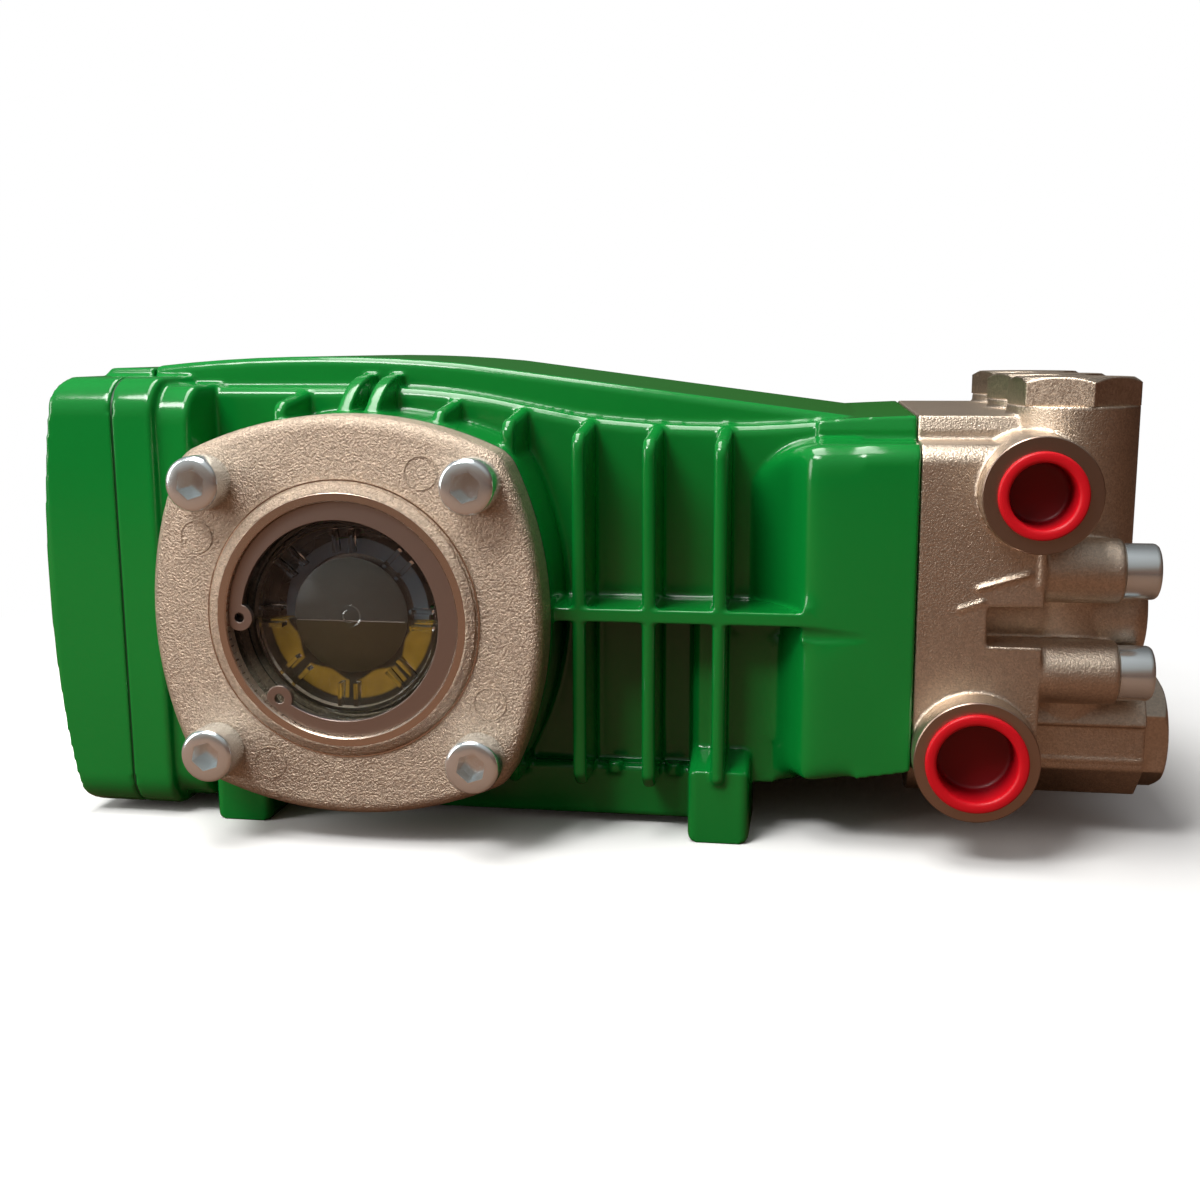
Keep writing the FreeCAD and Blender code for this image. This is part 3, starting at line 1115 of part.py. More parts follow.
def build_valve_caps():
    turns = (38, 48, 50)
    for number, (place, turn) in enumerate(zip((-1, 0, 1), turns), 1):
        across = f"{place} * plunger_pitch"
        delivery = hexagon_cap(f"delivery_cap_{number}", "tower_hexagon", "tower_cap_height")
        sub_part(delivery, f"delivery_valve_cap_{number}", set_out("tower_x", across, "tower_top"),
                 Rotation(Vector(0, 0, 1), turn))
        suction = hexagon_cap(f"suction_cap_{number}", "suction_hexagon", "suction_cap_height")
        sub_part(suction, f"suction_valve_cap_{number}", set_out("suction_end", across, "-inlet_depth"), ALONG_X)


def build_head_bolts():
    for number, (across, up) in enumerate(BOLT_PLACES, 1):
        bolt = cap_screw(f"head_bolt_{number}", "bolt_boss_length + bolt_reach")
        sub_part(bolt, f"head_bolt_{number}", set_out("bolt_boss_end", across, up), Rotation(Vector(0, 1, 0), -90))


build_crankcase()
build_rear_cover()
build_sight_cover()
build_drive_cover()
build_cover_screws()
build_sight_glass()
build_circlip()
build_bearings()
build_crankshaft()
build_shaft_seal()
build_cover_gaskets()
build_pump_head()
build_port_caps()
build_valve_caps()
build_head_bolts()

doc.recompute()
for item in doc.Objects:
    if "Invalid" in item.State or "Error" in item.State:
        raise RuntimeError(f"{item.Name} did not compute: {item.State}")
for piece in SUB_PARTS:
    if piece.Shape.isNull() or not piece.Shape.isValid() or piece.Shape.Volume <= 0:
        raise RuntimeError(f"{piece.Label} has no valid solid")

os.makedirs("parts", exist_ok=True)
for piece in SUB_PARTS:
    piece.Shape.exportStep(f"parts/{piece.Label}.step")
    bounds = piece.Shape.BoundBox
    print(f"{piece.Label}: {len(piece.Shape.Solids)} solid(s), {piece.Shape.Volume / 1000:.1f} cm3,"
          f" x {bounds.XMin:.1f}..{bounds.XMax:.1f} y {bounds.YMin:.1f}..{bounds.YMax:.1f}"
          f" z {bounds.ZMin:.1f}..{bounds.ZMax:.1f}")
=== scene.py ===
import math

import bmesh
import bpy
from mathutils import Matrix, Vector


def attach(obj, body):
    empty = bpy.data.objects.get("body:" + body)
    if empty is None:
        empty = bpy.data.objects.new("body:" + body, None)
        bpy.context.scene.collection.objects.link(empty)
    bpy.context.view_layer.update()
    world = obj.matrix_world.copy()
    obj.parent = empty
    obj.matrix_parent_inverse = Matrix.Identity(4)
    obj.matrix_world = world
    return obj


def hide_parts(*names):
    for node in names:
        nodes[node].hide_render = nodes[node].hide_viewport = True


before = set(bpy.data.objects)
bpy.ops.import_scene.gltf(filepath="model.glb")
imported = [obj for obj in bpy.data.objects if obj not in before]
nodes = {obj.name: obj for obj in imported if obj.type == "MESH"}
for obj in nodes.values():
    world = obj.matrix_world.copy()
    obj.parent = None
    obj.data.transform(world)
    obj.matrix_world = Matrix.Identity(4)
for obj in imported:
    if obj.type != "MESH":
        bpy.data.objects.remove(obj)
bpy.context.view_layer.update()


BODY = "pump_body"
SIDES = (-1, 1)  # the sight side faces -Y, the drive side +Y

MM = 0.001
MERGE = 0.00001
CRANK = Vector((-27, 0, 56.5)) * MM

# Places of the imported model, in millimetres about the crank axis
COVER_FACE = 80.0
COVER_SCREW = 32.5
PORT_FACE = 74.0
OUTLET = (159.2, 30.8)
INLET = (147.6, -30.5)
CYLINDER_SPACING = 40.0
SUCTION_X, SUCTION_Z = 175.8, -30.5
HEAD_BOLT_SEAT = 179.8
HEAD_BOLT_REACH = 57.6
HEAD_BOLT_ROW = 12.0

LENS_RIBS = 8


def at(x, y, z):
    """A place in metres from millimetres about the crank axis."""
    return CRANK + Vector((x, y, z)) * MM


def turns(degrees):
    return [math.radians(part) for part in degrees]


# Helpers for modelling

def only(piece):
    """Selects one piece alone."""
    bpy.ops.object.select_all(action="DESELECT")
    piece.select_set(True)
    bpy.context.view_layer.objects.active = piece


def edit(piece):
    """Opens a piece for editing by faces, with nothing selected."""
    only(piece)
    bpy.ops.object.mode_set(mode="EDIT")
    bpy.ops.mesh.select_all(action="DESELECT")
    bpy.ops.mesh.select_mode(type="FACE")


def leave():
    bpy.ops.object.mode_set(mode="OBJECT")


def settle(piece, name):
    """Names a piece and brings its vertices into the frame of the pump."""
    only(piece)
    bpy.ops.object.transform_apply(location=True, rotation=True, scale=True)
    piece.name = name
    piece.data.name = name
    return piece


def add_modifier(piece, kind, **settings):
    only(piece)
    bpy.ops.object.modifier_add(type=kind)
    modifier = piece.modifiers[-1]
    for key, value in settings.items():
        setattr(modifier, key, value)


def apply_modifiers(piece):
    only(piece)
    for modifier in list(piece.modifiers):
        bpy.ops.object.modifier_apply(modifier=modifier.name)


def finish_piece(piece, name, material, degrees=35):
    """Gives a piece its name, finish, body and slot; sharper angles than the degrees stay."""
    settle(piece, name)
    piece.data.materials.clear()
    piece.data.materials.append(material)
    bpy.ops.object.shade_smooth_by_angle(angle=math.radians(degrees))
    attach(piece, BODY)


def copy_of(node, name):
    """A merged copy of one node's mesh."""
    piece = bpy.data.objects.new(name, nodes[node].data.copy())
    bpy.context.scene.collection.objects.link(piece)
    edit(piece)
    bpy.ops.mesh.select_all(action="SELECT")
    bpy.ops.mesh.remove_doubles(threshold=MERGE)
    leave()
    return piece


def block(size, place, rotation=(0, 0, 0)):
    """A box in millimetres about the crank axis, rotated in degrees."""
    bpy.ops.mesh.primitive_cube_add(size=1, location=at(*place), scale=[part * MM for part in size],
                                    rotation=turns(rotation))
    return bpy.context.active_object


def rod(radius, length, place, rotation=(0, 0, 0), sides=48):
    """A cylinder in millimetres about the crank axis, upright until rotated in degrees."""
    bpy.ops.mesh.primitive_cylinder_add(vertices=sides, radius=radius * MM, depth=length * MM,
                                        location=at(*place), rotation=turns(rotation))
    return bpy.context.active_object


def lathe(name, outline, place, closed=False, sides=96):
    """A turned piece from radii and heights in millimetres; the heights run to -Y."""
    bpy.ops.mesh.primitive_circle_add(vertices=len(outline), radius=1.0, location=place)
    piece = bpy.context.active_object
    for vertex, (radius, height) in zip(piece.data.vertices, outline):
        vertex.co = (radius * MM, -height * MM, 0)
    if not closed:
        edit(piece)
        mesh = bmesh.from_edit_mesh(piece.data)
        ends = {0, len(outline) - 1}
        for line in list(mesh.edges):
            if {vertex.index for vertex in line.verts} == ends:
                mesh.edges.remove(line)
        bmesh.update_edit_mesh(piece.data)
        leave()
    edit(piece)
    bpy.ops.mesh.select_mode(type="VERT")
    bpy.ops.mesh.select_all(action="SELECT")
    bpy.ops.mesh.spin(steps=sides, angle=2 * math.pi, center=place, axis=(0, 1, 0))
    bpy.ops.mesh.select_all(action="SELECT")
    bpy.ops.mesh.remove_doubles(threshold=MERGE / 10)
    bpy.ops.mesh.select_all(action="SELECT")
    bpy.ops.mesh.normals_make_consistent(inside=False)
    leave()
    return settle(piece, name)


def turn_about(piece, place, degrees):
    """Turns a piece about an upright axis."""
    only(piece)
    bpy.ops.transform.rotate(value=math.radians(degrees), orient_axis="Z", center_override=place)


def face_side(piece, place, side):
    """Turned pieces are made for the sight side; one of the drive side is turned round."""
    if side > 0:
        turn_about(piece, place, 180)


def join(pieces):
    """Joins all the pieces to the first."""
    only(pieces[0])
    for piece in pieces[1:]:
        piece.select_set(True)
    if len(pieces) > 1:
        bpy.ops.object.join()
    return pieces[0]


def combine(piece, tools, how):
    """Cuts away or adds the tools, which are used up."""
    tool = join(tools)
    add_modifier(piece, "BOOLEAN", operation=how, solver="EXACT", object=tool)
    apply_modifiers(piece)
    bpy.data.objects.remove(tool)


# Helpers for materials

def feed(tree, socket, value):
    """Links an output to a socket, or sets the socket's own value."""
    if isinstance(value, bpy.types.NodeSocket):
        tree.links.new(value, socket)
    else:
        socket.default_value = value


def feed_colour(tree, socket, colour):
    feed(tree, socket, colour if isinstance(colour, bpy.types.NodeSocket) else (*colour, 1))


def object_place(tree):
    """The place on the piece, in metres in the frame of the pump."""
    return tree.nodes.new("ShaderNodeTexCoord").outputs["Object"]


def split(tree, place):
    node = tree.nodes.new("ShaderNodeSeparateXYZ")
    tree.links.new(place, node.inputs[0])
    return node.outputs


def maths(tree, operation, *values):
    node = tree.nodes.new("ShaderNodeMath")
    node.operation = operation
    for socket, value in zip(node.inputs, values):
        feed(tree, socket, value)
    return node.outputs[0]


def length_of(tree, vector):
    node = tree.nodes.new("ShaderNodeVectorMath")
    node.operation = "LENGTH"
    tree.links.new(vector, node.inputs[0])
    return node.outputs["Value"]


def scaled(tree, vector, scale):
    node = tree.nodes.new("ShaderNodeVectorMath")
    node.operation = "SCALE"
    tree.links.new(vector, node.inputs[0])
    tree.links.new(scale, node.inputs["Scale"])
    return node.outputs["Vector"]


def spread(tree, value, start=0.0, end=1.0, low=0.0, high=1.0, soft=False):
    """Maps values between start and end to low and high, with soft ends if asked."""
    node = tree.nodes.new("ShaderNodeMapRange")
    if soft:
        node.interpolation_type = "SMOOTHSTEP"
    for name, number in (("From Min", start), ("From Max", end), ("To Min", low), ("To Max", high)):
        node.inputs[name].default_value = number
    tree.links.new(value, node.inputs["Value"])
    return node.outputs["Result"]


def tint(tree, share, first, second):
    """A colour between two others; each is a colour or the output of another node."""
    node = tree.nodes.new("ShaderNodeMix")
    node.data_type = "RGBA"
    tree.links.new(share, node.inputs[0])
    feed_colour(tree, node.inputs[6], first)
    feed_colour(tree, node.inputs[7], second)
    return node.outputs[2]


def noise(tree, scale, detail=2.0, roughness=0.5):
    node = tree.nodes.new("ShaderNodeTexNoise")
    tree.links.new(object_place(tree), node.inputs["Vector"])
    feed(tree, node.inputs["Scale"], scale)
    node.inputs["Detail"].default_value = detail
    node.inputs["Roughness"].default_value = roughness
    return node.outputs["Fac"]


def blend_shaders(tree, share, first, second):
    """Shows a blend of two shaders on the surface."""
    mix = tree.nodes.new("ShaderNodeMixShader")
    for socket, source in zip(mix.inputs, (share, first, second)):
        tree.links.new(source, socket)
    tree.links.new(mix.outputs[0], tree.nodes["Material Output"].inputs["Surface"])


def new_material(name, roughness):
    """A material with its node tree and its Principled shader."""
    material = bpy.data.materials.new(name)
    material.use_nodes = True
    shader = material.node_tree.nodes["Principled BSDF"]
    shader.inputs["Roughness"].default_value = roughness
    return material, material.node_tree, shader


# Materials

COARSE_GRAIN = 0.22  # scale of the coarse noise beside the fine noise
CLOUD_SCALE = 35.0
BEVEL_SAMPLES = 4


def make_grain_group():
    """Cast grain: a height from fine and coarse noise, and specks of the same size."""
    group = bpy.data.node_groups.new("cast_grain", "ShaderNodeTree")
    for name, value in (("Grain size", 0.8), ("Coarse share", 0.5)):
        socket = group.interface.new_socket(name, in_out="INPUT", socket_type="NodeSocketFloat")
        socket.default_value = value
    for name in ("Height", "Speckle"):
        group.interface.new_socket(name, in_out="OUTPUT", socket_type="NodeSocketFloat")
    given = group.nodes.new("NodeGroupInput").outputs
    result = group.nodes.new("NodeGroupOutput").inputs
    scale = maths(group, "DIVIDE", 1 / MM, given["Grain size"])
    fine = noise(group, scale, detail=3.0, roughness=0.6)
    coarse = noise(group, maths(group, "MULTIPLY", scale, COARSE_GRAIN))
    height = maths(group, "MULTIPLY_ADD", coarse, given["Coarse share"], fine)
    group.links.new(height, result["Height"])
    speck = group.nodes.new("ShaderNodeTexVoronoi")
    speck.feature = "F1"
    group.links.new(object_place(group), speck.inputs["Vector"])
    group.links.new(scale, speck.inputs["Scale"])
    separate = group.nodes.new("ShaderNodeSeparateColor")
    group.links.new(speck.outputs["Color"], separate.inputs[0])
    group.links.new(separate.outputs[0], result["Speckle"])
    return group


GRAIN = make_grain_group()


def make_material(name, colour, roughness, metallic=0.0, bevel=0.0, tone=0.0,
                  grain=0.0, depth=0.0, coarse=0.5, speckle=0.0, sparkle=0.0):
    """A finish with rounded edges, a faint change of tone and cast grain.

    Bevel, grain and depth are in millimetres. Tone, speckle and sparkle are shares by which
    the colour, the roughness and the brightness of each speck change; sparkle needs a tone.
    """
    material, tree, shader = new_material(name, roughness)
    shader.inputs["Metallic"].default_value = metallic
    shade = colour
    normal = None
    if bevel:
        edge = tree.nodes.new("ShaderNodeBevel")
        edge.samples = BEVEL_SAMPLES
        edge.inputs["Radius"].default_value = bevel * MM
        normal = edge.outputs["Normal"]
    if tone:
        shade = tint(tree, noise(tree, CLOUD_SCALE, detail=4.0),
                     [part * (1 - tone) for part in colour],
                     [min(1, part * (1 + tone)) for part in colour])
    if grain:
        cast = tree.nodes.new("ShaderNodeGroup")
        cast.node_tree = GRAIN
        cast.inputs["Grain size"].default_value = grain
        cast.inputs["Coarse share"].default_value = coarse
        speck = cast.outputs["Speckle"]
        bump = tree.nodes.new("ShaderNodeBump")
        bump.inputs["Strength"].default_value = 1.0
        bump.inputs["Distance"].default_value = depth * MM
        tree.links.new(cast.outputs["Height"], bump.inputs["Height"])
        if normal:
            tree.links.new(normal, bump.inputs["Normal"])
        normal = bump.outputs["Normal"]
        if speckle:
            tree.links.new(spread(tree, speck, low=roughness - speckle, high=roughness + speckle),
                           shader.inputs["Roughness"])
        if sparkle:
            shade = scaled(tree, shade,
                           spread(tree, speck, low=1.0 - sparkle, high=1.0 + sparkle * 0.6))
    feed_colour(tree, shader.inputs["Base Color"], shade)
    if normal:
        tree.links.new(normal, shader.inputs["Normal"])
    return material


def deep_shade(tree, axis, start, end, near, far):
    """A colour that changes along an axis between two places in metres; Y without its sign."""
    value = split(tree, object_place(tree))[axis]
    if axis == "Y":
        value = maths(tree, "ABSOLUTE", value)
    return tint(tree, spread(tree, value, start, end), near, far)


def make_red():
    """Red plastic with painted shade: darker down in the hollow of a cap, where shade falls."""
    material, tree, shader = new_material("red_cap_plastic", 0.4)
    shader.inputs["Specular IOR Level"].default_value = 0.35
    # painted shade: the red darkens from the rim plane down into the hollow
    shade = deep_shade(tree, "Y", 0.0675, 0.0748, (0.2, 0.0, 0.004), (0.62, 0.004, 0.012))
    tree.links.new(shade, shader.inputs["Base Color"])
    return material


def make_glass():
    """Clear glass that doesn't put what stands behind it in the shade."""
    material, tree, shader = new_material("clear_moulded_glass", 0.03)
    shader.inputs["Base Color"].default_value = (0.82, 0.86, 0.88, 1)
    shader.inputs["Transmission Weight"].default_value = 1.0
    shader.inputs["IOR"].default_value = 1.46
    clear = tree.nodes.new("ShaderNodeBsdfTransparent")
    clear.inputs["Color"].default_value = (0.8, 0.82, 0.78, 1)
    path = tree.nodes.new("ShaderNodeLightPath")
    blend_shaders(tree, path.outputs["Is Shadow Ray"], shader.outputs[0], clear.outputs[0])
    return material


def make_oil():
    """Amber oil, lit only in a ring with a waved inner edge; painted shade makes it dark beyond the
    ring and in eight gaps behind the lens's ribs.
    """
    material, tree, shader = new_material("amber_oil", 0.25)
    place = split(tree, object_place(tree))
    ahead = maths(tree, "SUBTRACT", place["X"], CRANK.x)
    above = maths(tree, "SUBTRACT", place["Z"], CRANK.z)
    flat = tree.nodes.new("ShaderNodeCombineXYZ")
    tree.links.new(ahead, flat.inputs["X"])
    tree.links.new(above, flat.inputs["Y"])
    radius = length_of(tree, flat.outputs[0])
    angle = maths(tree, "ARCTAN2", above, ahead)
    wave = maths(tree, "COSINE", maths(tree, "MULTIPLY", angle, LENS_RIBS))
    inner_edge = maths(tree, "MULTIPLY_ADD", wave, 0.0009, 0.0154)
    inside = spread(tree, maths(tree, "SUBTRACT", radius, inner_edge), -0.0003, 0.0005, soft=True)
    outside = spread(tree, radius, 0.0209, 0.0202, soft=True)
    between = spread(tree, wave, 0.93, 0.84, soft=True)
    # painted light and shade: amber where the oil is lit through the lens, dark brown where shade
    # falls
    lit = maths(tree, "MULTIPLY", maths(tree, "MULTIPLY", inside, outside), between)
    amber = tint(tree, noise(tree, 260.0), (0.15, 0.075, 0.006), (0.33, 0.18, 0.02))
    tree.links.new(tint(tree, lit, (0.018, 0.013, 0.006), amber), shader.inputs["Base Color"])
    return material


def make_smoked():
    """The back of the sight glass: grey above the oil, brown where the oil shows through."""
    material, tree, shader = new_material("smoked_sight_disc", 0.3)
    shade = deep_shade(tree, "Z", 0.0549, 0.0552, (0.03, 0.022, 0.008), (0.034, 0.033, 0.03))
    tree.links.new(shade, shader.inputs["Base Color"])
    return material


paint = make_material("green_gloss_paint", (0.0025, 0.19, 0.026), 0.15, tone=0.06,
                      grain=5.0, depth=0.035)
sealed = make_material("painted_seam", (0.002, 0.05, 0.01), 0.4)
cast_cover = make_material("plated_sand_cast_cover", (0.545, 0.44, 0.345), 0.42, metallic=1.0,
                           bevel=0.5, tone=0.05, grain=0.48, depth=0.56, coarse=0.1, sparkle=0.22)
cast_head = make_material("plated_sand_cast_head", (0.63, 0.52, 0.415), 0.35, metallic=1.0,
                          tone=0.05, grain=0.42, depth=0.17, coarse=0.4, sparkle=0.16)
cast_cap = make_material("plated_valve_cap", (0.66, 0.55, 0.44), 0.34, metallic=1.0,
                         bevel=0.6, tone=0.04, grain=0.5, depth=0.08, speckle=0.05, sparkle=0.12)
zinc = make_material("bright_zinc", (0.84, 0.91, 0.93), 0.2, metallic=0.92)
machined = make_material("machined_plated_ring", (0.62, 0.51, 0.42), 0.27, metallic=1.0)
faced = make_material("faced_port_boss", (0.42, 0.31, 0.25), 0.3, metallic=1.0)
spring = make_material("satin_brown_circlip", (0.39, 0.32, 0.29), 0.36, metallic=1.0, bevel=0.3)
steel = make_material("ground_bearing_steel", (0.12, 0.14, 0.165), 0.22, metallic=1.0, bevel=0.3)
shaft_steel = make_material("ground_shaft_steel", (0.5, 0.5, 0.5), 0.26, metallic=1.0, bevel=0.4)
ring_steel = make_material("bearing_inner_ring", (0.13, 0.165, 0.21), 0.3, metallic=0.3, bevel=0.3)
cage_steel = make_material("dark_cage", (0.03, 0.03, 0.03), 0.35, metallic=1.0)
rubber = make_material("black_seal_rubber", (0.02, 0.02, 0.02), 0.55)
paper = make_material("dark_gasket_paper", (0.02, 0.022, 0.02), 0.8)
red = make_red()
glass = make_glass()
oil = make_oil()
smoked = make_smoked()

NODE_FINISHES = (  # the first word that a node's name holds decides
    ("screw", zinc),
    ("bolt", zinc),
    ("rear_cover_gasket", sealed),
    ("gasket", paper),
    ("bearing_cover", cast_cover),
    ("valve_cap", cast_cap),
    ("pump_head", cast_head),
    ("rollers", cage_steel),
    ("inner_ring", ring_steel),
    ("crankshaft", shaft_steel),
    ("port_cap", red),
    ("circlip", spring),
    ("sight_glass", glass),
    ("seal", rubber),
    ("crankcase", paint),
    ("rear_cover", paint),
    ("", steel),
)

for name, node in nodes.items():
    node.data.materials.clear()
    node.data.materials.append(next(finish for word, finish in NODE_FINISHES if word in name))


# Castings with rounded corners

def soften(piece, inside, rounds):
    """Rounds off only the part of a skin that lies inside a given region."""
    group = piece.vertex_groups.new(name="soft")
    group.add([vertex.index for vertex in piece.data.vertices
               if inside(*((vertex.co - CRANK) / MM))], 1.0, "ADD")
    add_modifier(piece, "SMOOTH", factor=0.5, iterations=rounds, vertex_group="soft")
    apply_modifiers(piece)
    piece.vertex_groups.remove(piece.vertex_groups["soft"])


def casting_skin(node, name, material, voxel, rounds, triangles,
                 carve=(), extras=(), soft=None, soft_rounds=0):
    """A copy of a casting with the soft corners that a mould gives.

    The carve pieces are cut away and the extras added before the skin is laid.
    """
    piece = copy_of(node, name)
    piece.data.materials.clear()
    if carve:
        combine(piece, list(carve), "DIFFERENCE")
    if extras:
        join([piece, *extras])
    add_modifier(piece, "REMESH", mode="VOXEL", adaptivity=0.0,
                 voxel_size=voxel * MM * 1)
    add_modifier(piece, "SMOOTH", factor=0.5, iterations=rounds)
    apply_modifiers(piece)
    if soft:
        soften(piece, soft, soft_rounds // (1))
    most = triangles / (len(piece.data.polygons) * 2.0)
    if most < 1:
        add_modifier(piece, "DECIMATE", ratio=most)
        apply_modifiers(piece)
    finish_piece(piece, name, material, degrees=60)
    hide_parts(node)


# grooves under the level rib beside the pump head, ejector bosses above the feet
grooves = []
bosses = [block((110, 132, 3.3), (56, 0, 0))]  # the level rib itself, full to its ends
for side in SIDES:
    grooves.append(rod(3.2, 28.0, (109, side * 68.2, -3.9), (0, 90, side * 4)))
    for x in (61.1, 75.9):
        bosses.append(rod(2.0, 3.0, (x, side * 52.0, -41.5), sides=24))


def flare(x, y, z):
    """The hollow sides that widen into the front block, above and below the level rib."""
    if not 90 < x < 121 or abs(y) < 48:
        return False
    return 2.8 < z < 42 or -33 < z < -5.5 or (z <= -33 and x > 101)


casting_skin("crankcase", "crankcase_casting", paint, 0.5, 7, 190000,
             carve=grooves, extras=bosses, soft=flare, soft_rounds=320)

# size, place on one side and lean of the webs and marks of the pump head
HEAD_MARKS = (
    ((12.5, 1.3, 0.6), (152.8, 65.3, 10.2), -17),
    ((6.0, 1.2, 0.6), (145.8, 65.2, 4.4), -19),
    ((1.4, 3.0, 9.0), (161.4, 64.2, 13.5), 0),
    ((26.0, 1.3, 0.7), (175.3, 54.2, -34.3), 0),
)
marks = [block(size, (x, side * y, z), (0, lean, 0))
         for side in SIDES for size, (x, y, z), lean in HEAD_MARKS]

# the lower halves of the suction valve housings get eight flat sides
shells = []
for row in (-1, 0, 1):
    y = row * CYLINDER_SPACING
    shell = rod(17.4, 28.6, (176.5, y, SUCTION_Z), (0, 90, 0))
    octagon = rod(15.8, 60.0, (SUCTION_X, y, SUCTION_Z), (90, 67.5, 90), sides=8)
    combine(shell, [octagon], "DIFFERENCE")
    combine(shell, [block((60, 60, 20), (SUCTION_X, y, -15.8))], "DIFFERENCE")
    shells.append(shell)
casting_skin("pump_head", "pump_head_casting", cast_head, 0.42, 5, 170000,
             carve=shells, extras=marks)

casting_skin("rear_cover", "rear_cover_casting", paint, 0.6, 6, 60000)


# Sight glass, oil and what stands behind it

def fins(circle, length, height, thick, middle):
    """Pairs of plates that stand around the crank axis, each pointing at it."""
    plates = []
    for index in range(LENS_RIBS):
        for lean in (-1, 1):
            angle = math.radians(360.0 * index / LENS_RIBS)
            x = circle * math.cos(angle) - lean * 2.0 * math.sin(angle)
            z = circle * math.sin(angle) + lean * 2.0 * math.cos(angle)
            plates.append(block((length, height, thick), (x, middle, z),
                                (0, -math.degrees(angle), 0)))
    return plates


LENS_OUTLINE = [
    (0, 0), (27.9, 0), (27.9, 5.0), (24.3, 5.0), (24.0, 4.4), (23.2, 4.25), (22.9, 3.5),
    (22.1, 3.35), (21.7, 2.4), (20.4, 2.1), (15.6, 0.95), (14.7, 0.72), (2.7, 0.7),
    (2.5, 1.3), (1.7, 1.35), (1.5, 0.8), (0, 0.8),
]
DISC_OUTLINE = [(0, 0), (14.1, 0), (14.1, 0.2), (13.8, 0.35), (0, 0.35)]
RING_OUTLINE = [
    (28.3, 0.8), (28.3, 1.5), (28.6, 1.8), (30.3, 1.83), (32.2, 0.7), (32.25, 0.45),
    (32.5, 0.4), (32.55, 0.2), (33.0, 0.18), (33.1, 0.3), (33.4, 0.3), (33.5, -0.2),
    (28.3, -0.2),
]

lens = lathe("sight_glass_lens", LENS_OUTLINE, at(0, -73.7, 0))
combine(lens, fins(18.6, 5.6, 3.4, 1.0, -76.4), "UNION")
finish_piece(lens, "sight_glass_lens", glass, degrees=30)
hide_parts("sight_glass")

disc = lathe("sight_glass_disc", DISC_OUTLINE, at(0, -73.25, 0))
finish_piece(disc, "sight_glass_disc", smoked, degrees=40)

ring = lathe("machined_ring", RING_OUTLINE, at(0, -COVER_FACE, 0), closed=True, sides=144)
finish_piece(ring, "machined_ring", machined, degrees=18)

oil_fill = settle(rod(24.3, 4.2, (0, -71.1, 0), (90, 0, 0), sides=96), "sight_glass_oil")
combine(oil_fill, [block((60, 10, 40), (0, -71, 18.6))], "DIFFERENCE")
finish_piece(oil_fill, "sight_glass_oil", oil, degrees=30)
# a thin satin strip that stands for the light line of the oil's meniscus: a painted highlight
meniscus_highlight = block((27.0, 0.06, 0.2), (0, -73.64, -1.3))
finish_piece(meniscus_highlight, "sight_glass_meniscus_highlight", spring, degrees=30)


# Marks of the mould pins on the bearing covers

PIN_OUTLINE = [(3.6, -0.1), (3.72, 0.15), (4.0, 0.15), (4.12, -0.1)]
PIN_PLACES = ((-35.5, 19.2), (20.0, 35.0), (35.4, -19.1), (-19.4, -35.6))

pins = []
for side in SIDES:
    for x, z in PIN_PLACES:
        place = at(-side * x, side * COVER_FACE, z)
        pin = lathe("pin_mark", PIN_OUTLINE, place, closed=True, sides=48)
        face_side(pin, place, side)
        pins.append(pin)
pin_marks = join(pins)
finish_piece(pin_marks, "cover_pin_marks", cast_cover, degrees=50)


# Port caps: cups with a soft rim, on faced bosses

def port_cap(node, plug, rim, hollow, place, side):
    """A cup whose hollow opens outwards."""
    cup = lathe(f"{node}_cup", [
        (0, -9.6), (plug, -9.6), (plug, 0), (rim - 0.2, 0), (rim, 0.2), (rim, 1.1),
        (rim - 0.15, 1.42), (rim - 0.45, 1.55), (hollow + 0.8, 1.58), (hollow + 0.25, 1.3),
        (hollow + 0.05, 0.8), (hollow, -0.4), (hollow - 0.2, -7.2), (hollow - 0.5, -8.0),
        (hollow - 1.3, -8.3), (0, -8.35),
    ], place, sides=72)
    face_side(cup, place, side)
    finish_piece(cup, f"{node}_cup", red, degrees=50)
    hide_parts(node)


def boss_face(name, radius, place, side):
    """The turned ring around a port."""
    inner, outer = radius - 4.9, radius - 0.02
    face = lathe(name, [
        (inner, -0.6), (inner, 0.03), (radius - 0.25, 0.03), (outer, -0.2), (outer, -0.6),
    ], place, closed=True)
    face_side(face, place, side)
    finish_piece(face, name, faced, degrees=20)


PORTS = (  # word, place, radii of the boss and of the cap's plug, rim and hollow
    ("outlet", OUTLET, 13.1, (8.2, 9.8, 7.3)),
    ("inlet", INLET, 14.2, (10.3, 11.6, 9.0)),
)
CAP_GAP = 0.05

for side, hand in zip(SIDES, ("sight", "drive")):
    for word, (x, z), boss, radii in PORTS:
        port_cap(f"{word}_port_cap_{hand}_side", *radii,
                 at(x, side * (PORT_FACE + CAP_GAP), z), side)
    for word, (x, z), boss, radii in PORTS:
        boss_face(f"{word}_boss_face_{hand}_side", boss, at(x, side * PORT_FACE, z), side)


# Socket cap screws

SCREW_OUTLINE = [
    (0, 0), (6.3, 0), (6.5, 0.2), (6.5, 6.7), (6.35, 7.3), (6.0, 7.75), (5.45, 8.0), (0, 8.0),
]
SOCKET_RADIUS = 3.62
SOCKET_LENGTH = 9.0
SOCKET_MIDDLE = 8.3
SOCKET_TURN = 12


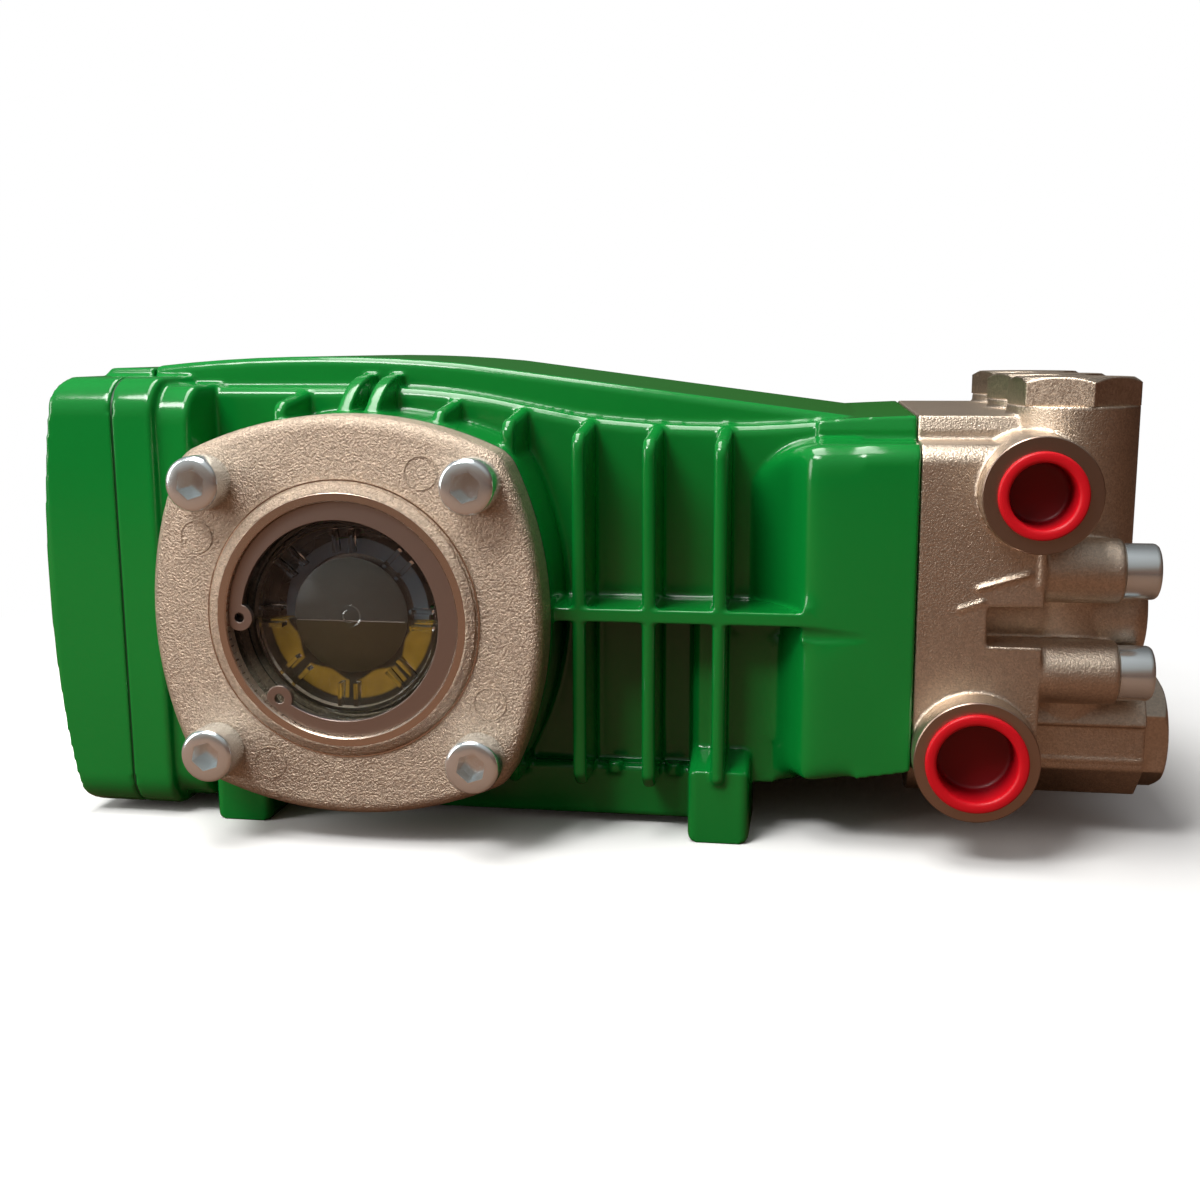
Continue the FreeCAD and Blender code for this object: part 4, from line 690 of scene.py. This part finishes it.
def screw_head(node, place, degrees):
    """The head of a socket cap screw on its seat, in place of the plain one."""
    head = lathe(f"{node}_head", SCREW_OUTLINE, place, sides=64)
    bpy.ops.mesh.primitive_cylinder_add(vertices=6, radius=SOCKET_RADIUS * MM,
                                        depth=SOCKET_LENGTH * MM,
                                        location=place + Vector((0, -SOCKET_MIDDLE * MM, 0)),
                                        rotation=turns((90, SOCKET_TURN, 0)))
    combine(head, [bpy.context.active_object], "DIFFERENCE")
    turn_about(head, place, degrees)
    finish_piece(head, f"{node}_head", zinc, degrees=32)
    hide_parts(node)


COVER_CORNERS = [(x, z) for z in (COVER_SCREW, -COVER_SCREW) for x in (-COVER_SCREW, COVER_SCREW)]
for number, (x, z) in enumerate(COVER_CORNERS, 1):
    screw_head(f"sight_side_cover_screw_{number}", at(x, -COVER_FACE, z), 0)
    screw_head(f"drive_side_cover_screw_{number}", at(x, COVER_FACE, z), 180)

HEAD_BOLTS = [(share * HEAD_BOLT_REACH / 3, z)
              for z in (HEAD_BOLT_ROW, -HEAD_BOLT_ROW) for share in (-3, -1, 1, 3)]
for number, (y, z) in enumerate(HEAD_BOLTS, 1):
    screw_head(f"head_bolt_{number}", at(HEAD_BOLT_SEAT, y, z), -90)


# Floor, lights and camera

def build_floor():
    """A floor that is white to the camera, warm and dark in reflections, and glows far off."""
    bpy.ops.mesh.primitive_plane_add(size=8, location=(0, 0, 0))
    floor = bpy.context.active_object
    floor.name = "floor"
    material, tree, shader = new_material("pale_floor", 0.9)
    shader.inputs["Specular IOR Level"].default_value = 0.0
    camera_ray = tree.nodes.new("ShaderNodeLightPath").outputs["Is Camera Ray"]
    tree.links.new(tint(tree, camera_ray, (0.16, 0.09, 0.06), (0.95, 0.95, 0.95)),
                   shader.inputs["Base Color"])
    away = spread(tree, length_of(tree, object_place(tree)), 0.16, 0.34, soft=True)
    glow = tree.nodes.new("ShaderNodeEmission")
    blend_shaders(tree, maths(tree, "MULTIPLY", away, camera_ray),
                  shader.outputs[0], glow.outputs[0])
    floor.data.materials.append(material)


SKY = [
    (0.0, (0.08, 0.034, 0.02)), (0.5, (0.12, 0.055, 0.034)), (0.58, (0.16, 0.11, 0.08)),
    (0.7, (0.28, 0.27, 0.26)), (1.0, (0.48, 0.49, 0.5)),
]
SKY_LEAN = -0.3


def build_sky():
    """A soft studio: pale above, dark and warm below, dimmer behind the pump, white to see."""
    world = bpy.data.worlds.new("soft_studio")
    bpy.context.scene.world = world
    world.use_nodes = True
    tree = world.node_tree
    direction = split(tree, tree.nodes.new("ShaderNodeTexCoord").outputs["Generated"])
    sky = tree.nodes.new("ShaderNodeValToRGB")
    for place, colour in SKY[1:-1]:
        sky.color_ramp.elements.new(place)
    for element, (place, colour) in zip(sky.color_ramp.elements, SKY):
        element.position = place
        element.color = (*colour, 1)
    height = maths(tree, "MULTIPLY_ADD", direction["X"], SKY_LEAN, direction["Z"])
    tree.links.new(spread(tree, height, -1.0, 1.0), sky.inputs["Fac"])
    behind = spread(tree, direction["Y"], -0.3, 0.5, 1.0, 0.35)
    dimmed = scaled(tree, sky.outputs["Color"], behind)
    seen = tree.nodes.new("ShaderNodeLightPath").outputs["Is Camera Ray"]
    background = tree.nodes["Background"]
    tree.links.new(tint(tree, seen, dimmed, (1, 1, 1)), background.inputs["Color"])
    background.inputs["Strength"].default_value = 1.0


LIT_PLACE = Vector((0, 0, 0.05))


def area_light(name, place, size, power, colour):
    """A rectangular lamp that faces the pump."""
    bpy.ops.object.light_add(type="AREA", location=place)
    lamp = bpy.context.active_object
    lamp.name = name
    lamp.data.shape = "RECTANGLE"
    lamp.data.size, lamp.data.size_y = size
    lamp.data.energy = power
    lamp.data.color = colour
    lamp.rotation_euler = (LIT_PLACE - Vector(place)).to_track_quat("-Z", "Y").to_euler()


# the camera stands where the photo was taken from, with its right, down and forward axes
CAMERA_PLACE = (0.08399, -0.39119, 0.11967)
RIGHT = Vector((0.987787, 0.155762, -0.003905))
DOWN = Vector((0.023837, -0.175835, -0.984131))
FORWARD = Vector((-0.153977, 0.972019, -0.1774))


def set_camera():
    bpy.ops.object.camera_add(location=CAMERA_PLACE)
    camera = bpy.context.active_object
    camera.name = "camera"
    camera.data.lens = 42.0
    camera.data.sensor_width = 36.0
    camera.data.clip_start = 0.01
    turn = Matrix((RIGHT, -DOWN, -FORWARD)).transposed()
    camera.matrix_world = Matrix.Translation(camera.location) @ turn.to_4x4()
    bpy.context.scene.camera = camera
    bpy.context.scene.view_settings.view_transform = "Standard"


build_floor()
build_sky()
area_light("top_softbox", (-0.12, 0.0, 0.75), (0.8, 0.3), 6.5, (1, 0.99, 0.96))
area_light("front_softbox", (-0.3, -0.55, 0.72), (0.35, 0.2), 4.8, (1, 0.99, 0.97))
area_light("left_softbox", (-0.75, -0.45, 0.3), (0.3, 0.5), 3.0, (1, 0.97, 0.93))
set_camera()
